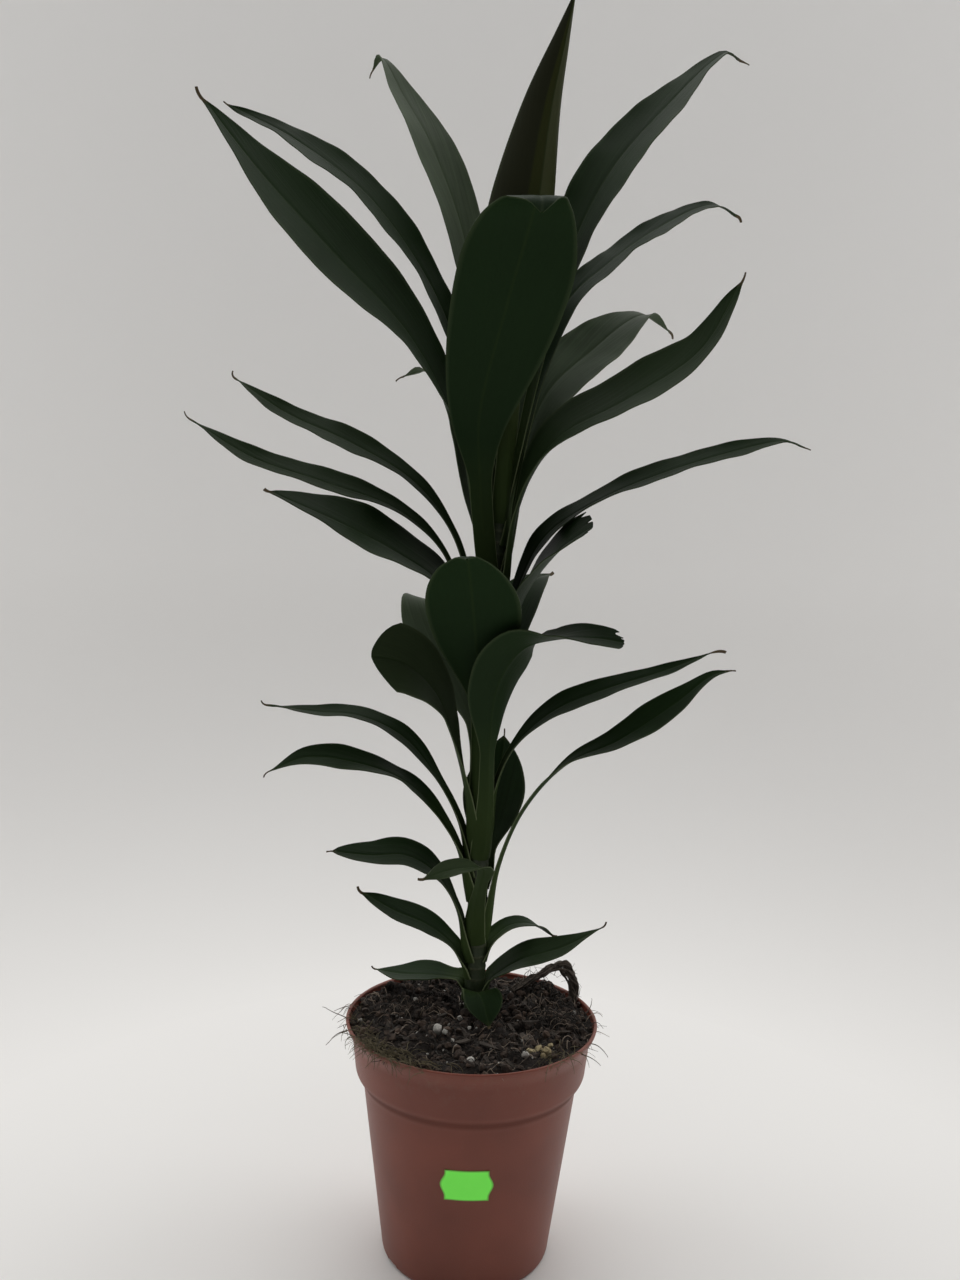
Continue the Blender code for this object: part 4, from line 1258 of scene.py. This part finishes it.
class CORDYLINE_OT_crumbs(bpy.types.Operator):
    """Scatter crumbs of peat, splinters of bark and grains of perlite"""

    bl_idname = "cordyline.crumbs"
    bl_label = "Crumbs and Perlite"

    def execute(self, context):
        settings = context.scene.cordyline_soil
        self.peat_crumbs(settings)
        self.bark(settings)
        self.perlite(settings)
        return {"FINISHED"}

    def peat_crumbs(self, settings):
        draws = random.Random(settings.seed)
        lumps = [lump(seed) for seed in range(6)]
        shape = empty_heap()
        for _ in range(settings.crumbs):
            x, y = soil_spot(draws)
            size = (0.9 + 4.4 * draws.random() ** 3) * MM
            sizes = [size * draws.uniform(0.6, 1.25) for _ in range(3)]
            place = Vector((x, y, soil_top(x, y) + 0.15 * size))
            scatter(shape, draws.choice(lumps), place, sizes, any_turn(draws), draws.random() ** 3)
        material = crumb_material("peat_crumb", tint(settings.colour, 0.3), tint(settings.colour, 8.0))
        put("peat_crumbs", shape, material, sharp_from=35)

    def bark(self, settings):
        draws = random.Random(settings.seed + 1)
        chips = [chip(seed) for seed in range(5)]
        shape = empty_heap()
        for _ in range(BARK_CHIPS):
            x, y = soil_spot(draws, 0.94)
            size = draws.uniform(3.0, 9.0) * MM
            sizes = (size, size * draws.uniform(0.5, 1.0), size * draws.uniform(0.5, 1.1))
            place = Vector((x, y, soil_top(x, y) + 0.4 * MM))
            scatter(shape, draws.choice(chips), place, sizes, any_turn(draws, 0.5), draws.random())
        material = crumb_material("bark_chip", BARK_DARK, tint(settings.fibre_colour, 0.35))
        put("bark_chips", shape, material, sharp_from=35)

    def perlite(self, settings):
        """White grains, a few of them large, and a group that is stained with age."""
        draws = random.Random(settings.seed + 2)
        lumps = [lump(seed + 20, 2, 0.5) for seed in range(4)]
        spots = [(x * MM, y * MM, size * MM) for x, y, size in LARGE_GRAINS]
        for _ in range(settings.grains):
            spots.append((*soil_spot(draws, 0.95), (0.7 + 1.7 * draws.random() ** 2) * MM))
        white = empty_heap()
        for x, y, size in spots:
            self.grain(white, draws, lumps, x, y, size)
        dim = tint(settings.perlite_colour, 0.55)
        material = crumb_material("perlite", dim, settings.perlite_colour, 0.8, 700.0)
        put("perlite_grains", white, material, sharp_from=50)
        stained = empty_heap()
        for x, y, size in OLD_GRAINS:
            self.grain(stained, draws, lumps, x * MM, y * MM, size * MM)
        material = crumb_material("stained_perlite", STAINED_DARK, STAINED_LIGHT, 0.85, 500.0)
        put("stained_grains", stained, material, sharp_from=50)

    def grain(self, shape, draws, lumps, x, y, size):
        sizes = [size * draws.uniform(0.7, 1.2) for _ in range(3)]
        place = Vector((x, y, soil_top(x, y) + draws.uniform(0.4, 0.65) * size))
        scatter(shape, draws.choice(lumps), place, sizes, any_turn(draws), draws.random())


class CORDYLINE_OT_fibres(bpy.types.Operator):
    """Lay fibres, moss and root hairs on the peat and over the rim"""

    bl_idname = "cordyline.fibres"
    bl_label = "Fibres and Moss"

    def execute(self, context):
        settings = context.scene.cordyline_soil
        self.fibres(settings)
        self.moss(settings)
        self.root_hairs(settings)
        return {"FINISHED"}

    def fibres(self, settings):
        """Loose fibres and mats of them: most are dark with damp and the rest pale and dry."""
        draws = random.Random(settings.seed + 3)
        paths = []
        for _ in range(settings.fibres):
            x, y = soil_spot(draws, 0.93)
            paths.append(self.fibre(draws, x, y, (4, 17), (0.12, 0.40), 7, 0.5, 2.6))
        for right, back, reach, count in MATS:
            for _ in range(count):
                x, y = draws.gauss(right, reach) * MM, draws.gauss(back, reach) * MM
                if math.hypot(x, y) > inner_radius(SOIL_EDGE) - 1 * MM:
                    continue
                paths.append(self.fibre(draws, x, y, (5, 15), (0.12, 0.30), 8, 0.7, 4.5))
        damp, dry = [], []
        for path in paths:
            group = dry if draws.random() < DRY_SHARE else damp
            group.append(path)
        self.put_fibres("damp_fibres", damp, settings.fibre_colour, 0.06, 0.35)
        self.put_fibres("dry_fibres", dry, settings.fibre_colour, 0.8, 3.2)

    def fibre(self, draws, x, y, lengths, radii, steps, curl, pile):
        """A fibre that lies on the peat, with its ranges of length and radius in millimetres."""
        angle = draws.uniform(0, 2 * math.pi)
        start = Vector((x, y, soil_top(x, y)))
        heading = (math.cos(angle), math.sin(angle), 0.0)
        length = draws.uniform(*lengths) * MM
        radius = draws.uniform(*radii) * MM
        return wander(draws, start, heading, length, radius, steps, curl, pile=pile)

    def put_fibres(self, name, paths, colour, darkest, lightest):
        material = crumb_material(name, tint(colour, darkest), tint(colour, lightest), 0.85, 120.0)
        put(name, strands_shape(paths), material)

    def moss(self, settings):
        """Tufts of moss that creep along the rim."""
        draws = random.Random(settings.seed + 4)
        paths = []
        for middle, spread_angle, count in MOSS:
            for _ in range(count):
                angle = math.radians(draws.gauss(middle, spread_angle))
                ring = draws.uniform(56, 67) * MM
                out = Vector((math.cos(angle), math.sin(angle), 0.0))
                tangent = Vector((-out.y, out.x, 0.0))
                start = out * ring + Vector((0, 0, POT_HEIGHT + draws.uniform(-0.5, 2.0) * MM))
                heading = tangent * draws.gauss(0, 1) + out * draws.gauss(0.0, 0.3)
                heading.z = draws.uniform(0.0, 0.5)
                length = draws.uniform(4, 13) * MM
                radius = draws.uniform(0.12, 0.28) * MM
                paths.append(wander(draws, start, heading, length, radius, 8, 0.5, hug=False, droop=1.5))
        dark = tint(settings.moss_colour, 0.5)
        material = crumb_material("moss", dark, settings.moss_colour, 0.85)
        put("rim_moss", strands_shape(paths), material)

    def root_hairs(self, settings):
        """Loose root hairs that reach past the rim at both sides and stand up at the back."""
        draws = random.Random(settings.seed + 5)
        ring = inner_radius(SOIL_EDGE) - 3 * MM
        paths = []
        for azimuth, rise, length in ROOT_HAIRS:
            angle = math.radians(azimuth)
            slope = math.radians(rise)
            start = Vector((ring * math.cos(angle), ring * math.sin(angle), POT_HEIGHT - 3 * MM))
            heading = (math.cos(angle) * math.cos(slope), math.sin(angle) * math.cos(slope),
                       math.sin(slope) + 0.3)
            paths.append(wander(draws, start, heading, length * MM, 0.32 * MM, 12, 0.45, hug=False,
                                droop=0.9))
        dark = tint(settings.fibre_colour, 0.4)
        material = crumb_material("root_hair", dark, settings.fibre_colour, 0.8)
        put("root_hairs", strands_shape(paths, 1), material)


class CORDYLINE_OT_roots(bpy.types.Operator):
    """Twist the matted arch of roots that stands out of the peat"""

    bl_idname = "cordyline.roots"
    bl_label = "Root Arch"

    def execute(self, context):
        settings = context.scene.cordyline_soil
        draws = random.Random(settings.seed + 6)
        # Without a seed, noise vectors start from the clock and each run gives other strands
        noise.seed_set(settings.seed)
        middle, _ = smooth_path([tuple(v * MM for v in spot) for spot in ROOT_LOOP], ARCH_STEPS)
        paths = [self.strand(draws, middle, i) for i in range(ARCH_STRANDS)]
        for _ in range(ARCH_HAIRS):
            spot = Vector(middle[draws.randrange(4, ARCH_STEPS - 3)])
            heading = Vector([draws.gauss(0, 1) for _ in range(3)])
            length = draws.uniform(3, 8) * MM
            paths.append(wander(draws, spot, heading, length, 0.15 * MM, 7, 0.6, hug=False, droop=0.6))
        dark = tint(settings.fibre_colour, 0.25)
        material = crumb_material("matted_root", dark, settings.fibre_colour, 0.9, 420.0)
        put("root_arch", strands_shape(paths, 1), material)
        return {"FINISHED"}

    def strand(self, draws, middle, number):
        """One strand that winds loosely about the middle of the arch."""
        phase = 2 * math.pi * number / ARCH_STRANDS
        reach = ROOT_LOOP_RADIUS * draws.uniform(0.2, 1.0)
        radius = draws.uniform(0.25, 0.65) * MM
        turns = draws.uniform(0.6, 2.2)
        shift = Vector([draws.uniform(0, 50) for _ in range(3)])
        path = []
        for i, spot in enumerate(middle):
            angle = phase + 2 * math.pi * turns * i / ARCH_STEPS
            wobble = noise.noise_vector(Vector(spot) * 260 + shift) * 0.9 * MM
            aside = Vector((math.cos(angle), 0.7 * math.sin(angle), math.sin(angle + 0.8))) * reach
            path.append((tuple(Vector(spot) + aside + wobble), radius))
        return path


class CORDYLINE_OT_cane(bpy.types.Operator):
    """Model the young cane"""

    bl_idname = "cordyline.cane"
    bl_label = "Cane"

    def execute(self, context):
        put("cane", cane_shape(), cane_material(context.scene.cordyline_cane), ["stem"])
        return {"FINISHED"}


class CORDYLINE_OT_leaves(bpy.types.Operator):
    """Model every leaf with its stalk, veins and dry tip"""

    bl_idname = "cordyline.leaves"
    bl_label = "Leaves"

    def execute(self, context):
        settings = context.scene.cordyline_leaf
        materials = {
            "dark": leaf_material("leaf_dark", settings.dark_colour, settings),
            # The grey tone paints on the sheen of leaves that face the sky
            "grey": leaf_material("leaf_grey", settings.painted_sheen_colour, settings),
            "spear": leaf_material("leaf_spear", settings.spear_colour, settings, 1.0,
                                   settings.spear_side_colour),
        }
        for leaf in LEAVES:
            put(leaf.name + "_blade", leaf_shape(leaf, settings.thickness), materials[leaf.tone],
                [leaf.name], sharp_from=60)
        return {"FINISHED"}


class CORDYLINE_OT_tag(bpy.types.Operator):
    """Model the blank paper tag"""

    bl_idname = "cordyline.tag"
    bl_label = "Paper Tag"

    def execute(self, context):
        settings = context.scene.cordyline_tag
        put("paper_tag", tag_shape(settings.thickness), paper_material(settings),
            ["price_tag"], sharp_from=40)
        return {"FINISHED"}


class CORDYLINE_OT_stage(bpy.types.Operator):
    """Set the pale floor and backdrop, the soft light and the camera"""

    bl_idname = "cordyline.stage"
    bl_label = "Stage"

    def execute(self, context):
        settings = context.scene.cordyline_stage
        self.floor(stage_material("pale_floor", settings)[0])
        self.backdrop(backdrop_material(settings))
        self.light(settings)
        self.camera(context.scene)
        context.scene.view_settings.view_transform = "Standard"
        return {"FINISHED"}

    def stage_piece(self, name, profile, material):
        thing = new_object(name, lathe(profile, STAGE_STEPS))
        thing.data.shade_smooth()
        thing.data.materials.append(material)
        return thing

    def floor(self, material):
        self.stage_piece("floor", [(0.0, 0.0), (0.3, 0.0), (FLOOR_REACH, 0.0)], material)

    def backdrop(self, material):
        """A round wall that sweeps up from the floor. Only the camera sees it, from inside."""
        sweep = [(WALL_FOOT + WALL_SWEEP * math.sin(a), WALL_SWEEP * (1 - math.cos(a)) + 0.2 * MM)
                 for a in np.linspace(0, math.pi / 2, 25)]
        wall = self.stage_piece("backdrop", sweep + [(WALL_FOOT + WALL_SWEEP, WALL_TOP)], material)
        face = wall.data.polygons[0]
        if face.normal.dot(Vector((face.center.x, face.center.y, -0.1))) > 0:
            wall.data.flip_normals()
        wall.visible_shadow = False
        wall.visible_diffuse = False
        wall.visible_glossy = False

    def light(self, settings):
        """A sky that is bright above and behind, and three large soft lamps."""
        world = bpy.data.worlds.new("soft_light")
        world.use_nodes = True
        tree = world.node_tree
        heading = new_node(tree, "ShaderNodeTexCoord").outputs["Generated"]
        _, back, up = new_node(tree, "ShaderNodeSeparateXYZ", {0: heading}).outputs
        toward = calc(tree, "MULTIPLY_ADD", back, 0.55, calc(tree, "MULTIPLY", up, 0.75))
        bright = spread(tree, toward, 0.0, 1.0, settings.fill, settings.fill + settings.sky,
                        "SMOOTHSTEP")
        feed(tree, tree.nodes["Background"], {"Color": SKY_TINT, "Strength": bright})
        bpy.context.scene.world = world
        for name, place, size, share in LAMPS:
            lamp = bpy.data.lights.new(name, "AREA")
            lamp.shape = "DISK"
            lamp.size = size
            lamp.energy = settings.lamp * share
            thing = bpy.data.objects.new(name, lamp)
            thing.location = place
            aim = Vector(LAMP_AIM) - Vector(place)
            thing.rotation_euler = aim.to_track_quat("-Z", "Y").to_euler()
            bpy.context.scene.collection.objects.link(thing)

    def camera(self, scene):
        data = bpy.data.cameras.new("camera")
        data.lens = CAMERA_LENS
        camera = bpy.data.objects.new("camera", data)
        tilt = Matrix.Rotation(math.pi / 2 + CAMERA_PITCH, 4, "X")
        roll = Matrix.Rotation(CAMERA_ROLL, 4, "Z")
        camera.matrix_world = Matrix.Translation(CAMERA_PLACE) @ tilt @ roll
        scene.collection.objects.link(camera)
        scene.camera = camera


OPERATORS = (CORDYLINE_OT_stage, CORDYLINE_OT_pot, CORDYLINE_OT_soil, CORDYLINE_OT_crumbs,
             CORDYLINE_OT_fibres, CORDYLINE_OT_roots, CORDYLINE_OT_cane, CORDYLINE_OT_leaves,
             CORDYLINE_OT_tag)
SETTINGS = {"cordyline_pot": PotSettings, "cordyline_soil": SoilSettings,
            "cordyline_cane": CaneSettings, "cordyline_leaf": LeafSettings,
            "cordyline_tag": TagSettings, "cordyline_stage": StageSettings}


class CORDYLINE_PT_panel(bpy.types.Panel):
    """The pieces of the cordyline and their settings"""

    bl_label = "Potted Cordyline"
    bl_idname = "CORDYLINE_PT_panel"
    bl_space_type = "VIEW_3D"
    bl_region_type = "UI"
    bl_category = "Cordyline"

    def draw(self, context):
        for operator in OPERATORS:
            self.layout.operator(operator.bl_idname)
        for name, kind in SETTINGS.items():
            box = self.layout.box()
            for prop in kind.__annotations__:
                box.prop(getattr(context.scene, name), prop)


def register():
    for kind in (*SETTINGS.values(), *OPERATORS, CORDYLINE_PT_panel):
        bpy.utils.register_class(kind)
    for name, kind in SETTINGS.items():
        setattr(bpy.types.Scene, name, PointerProperty(type=kind))


def unregister():
    for name in SETTINGS:
        delattr(bpy.types.Scene, name)
    for kind in reversed((*SETTINGS.values(), *OPERATORS, CORDYLINE_PT_panel)):
        bpy.utils.unregister_class(kind)


def main():
    register()
    bpy.ops.cordyline.stage()
    bpy.ops.cordyline.pot()
    bpy.ops.cordyline.soil()
    bpy.ops.cordyline.crumbs()
    bpy.ops.cordyline.fibres()
    bpy.ops.cordyline.roots()
    bpy.ops.cordyline.cane()
    bpy.ops.cordyline.leaves()
    bpy.ops.cordyline.tag()


if __name__ == "__main__":
    main()
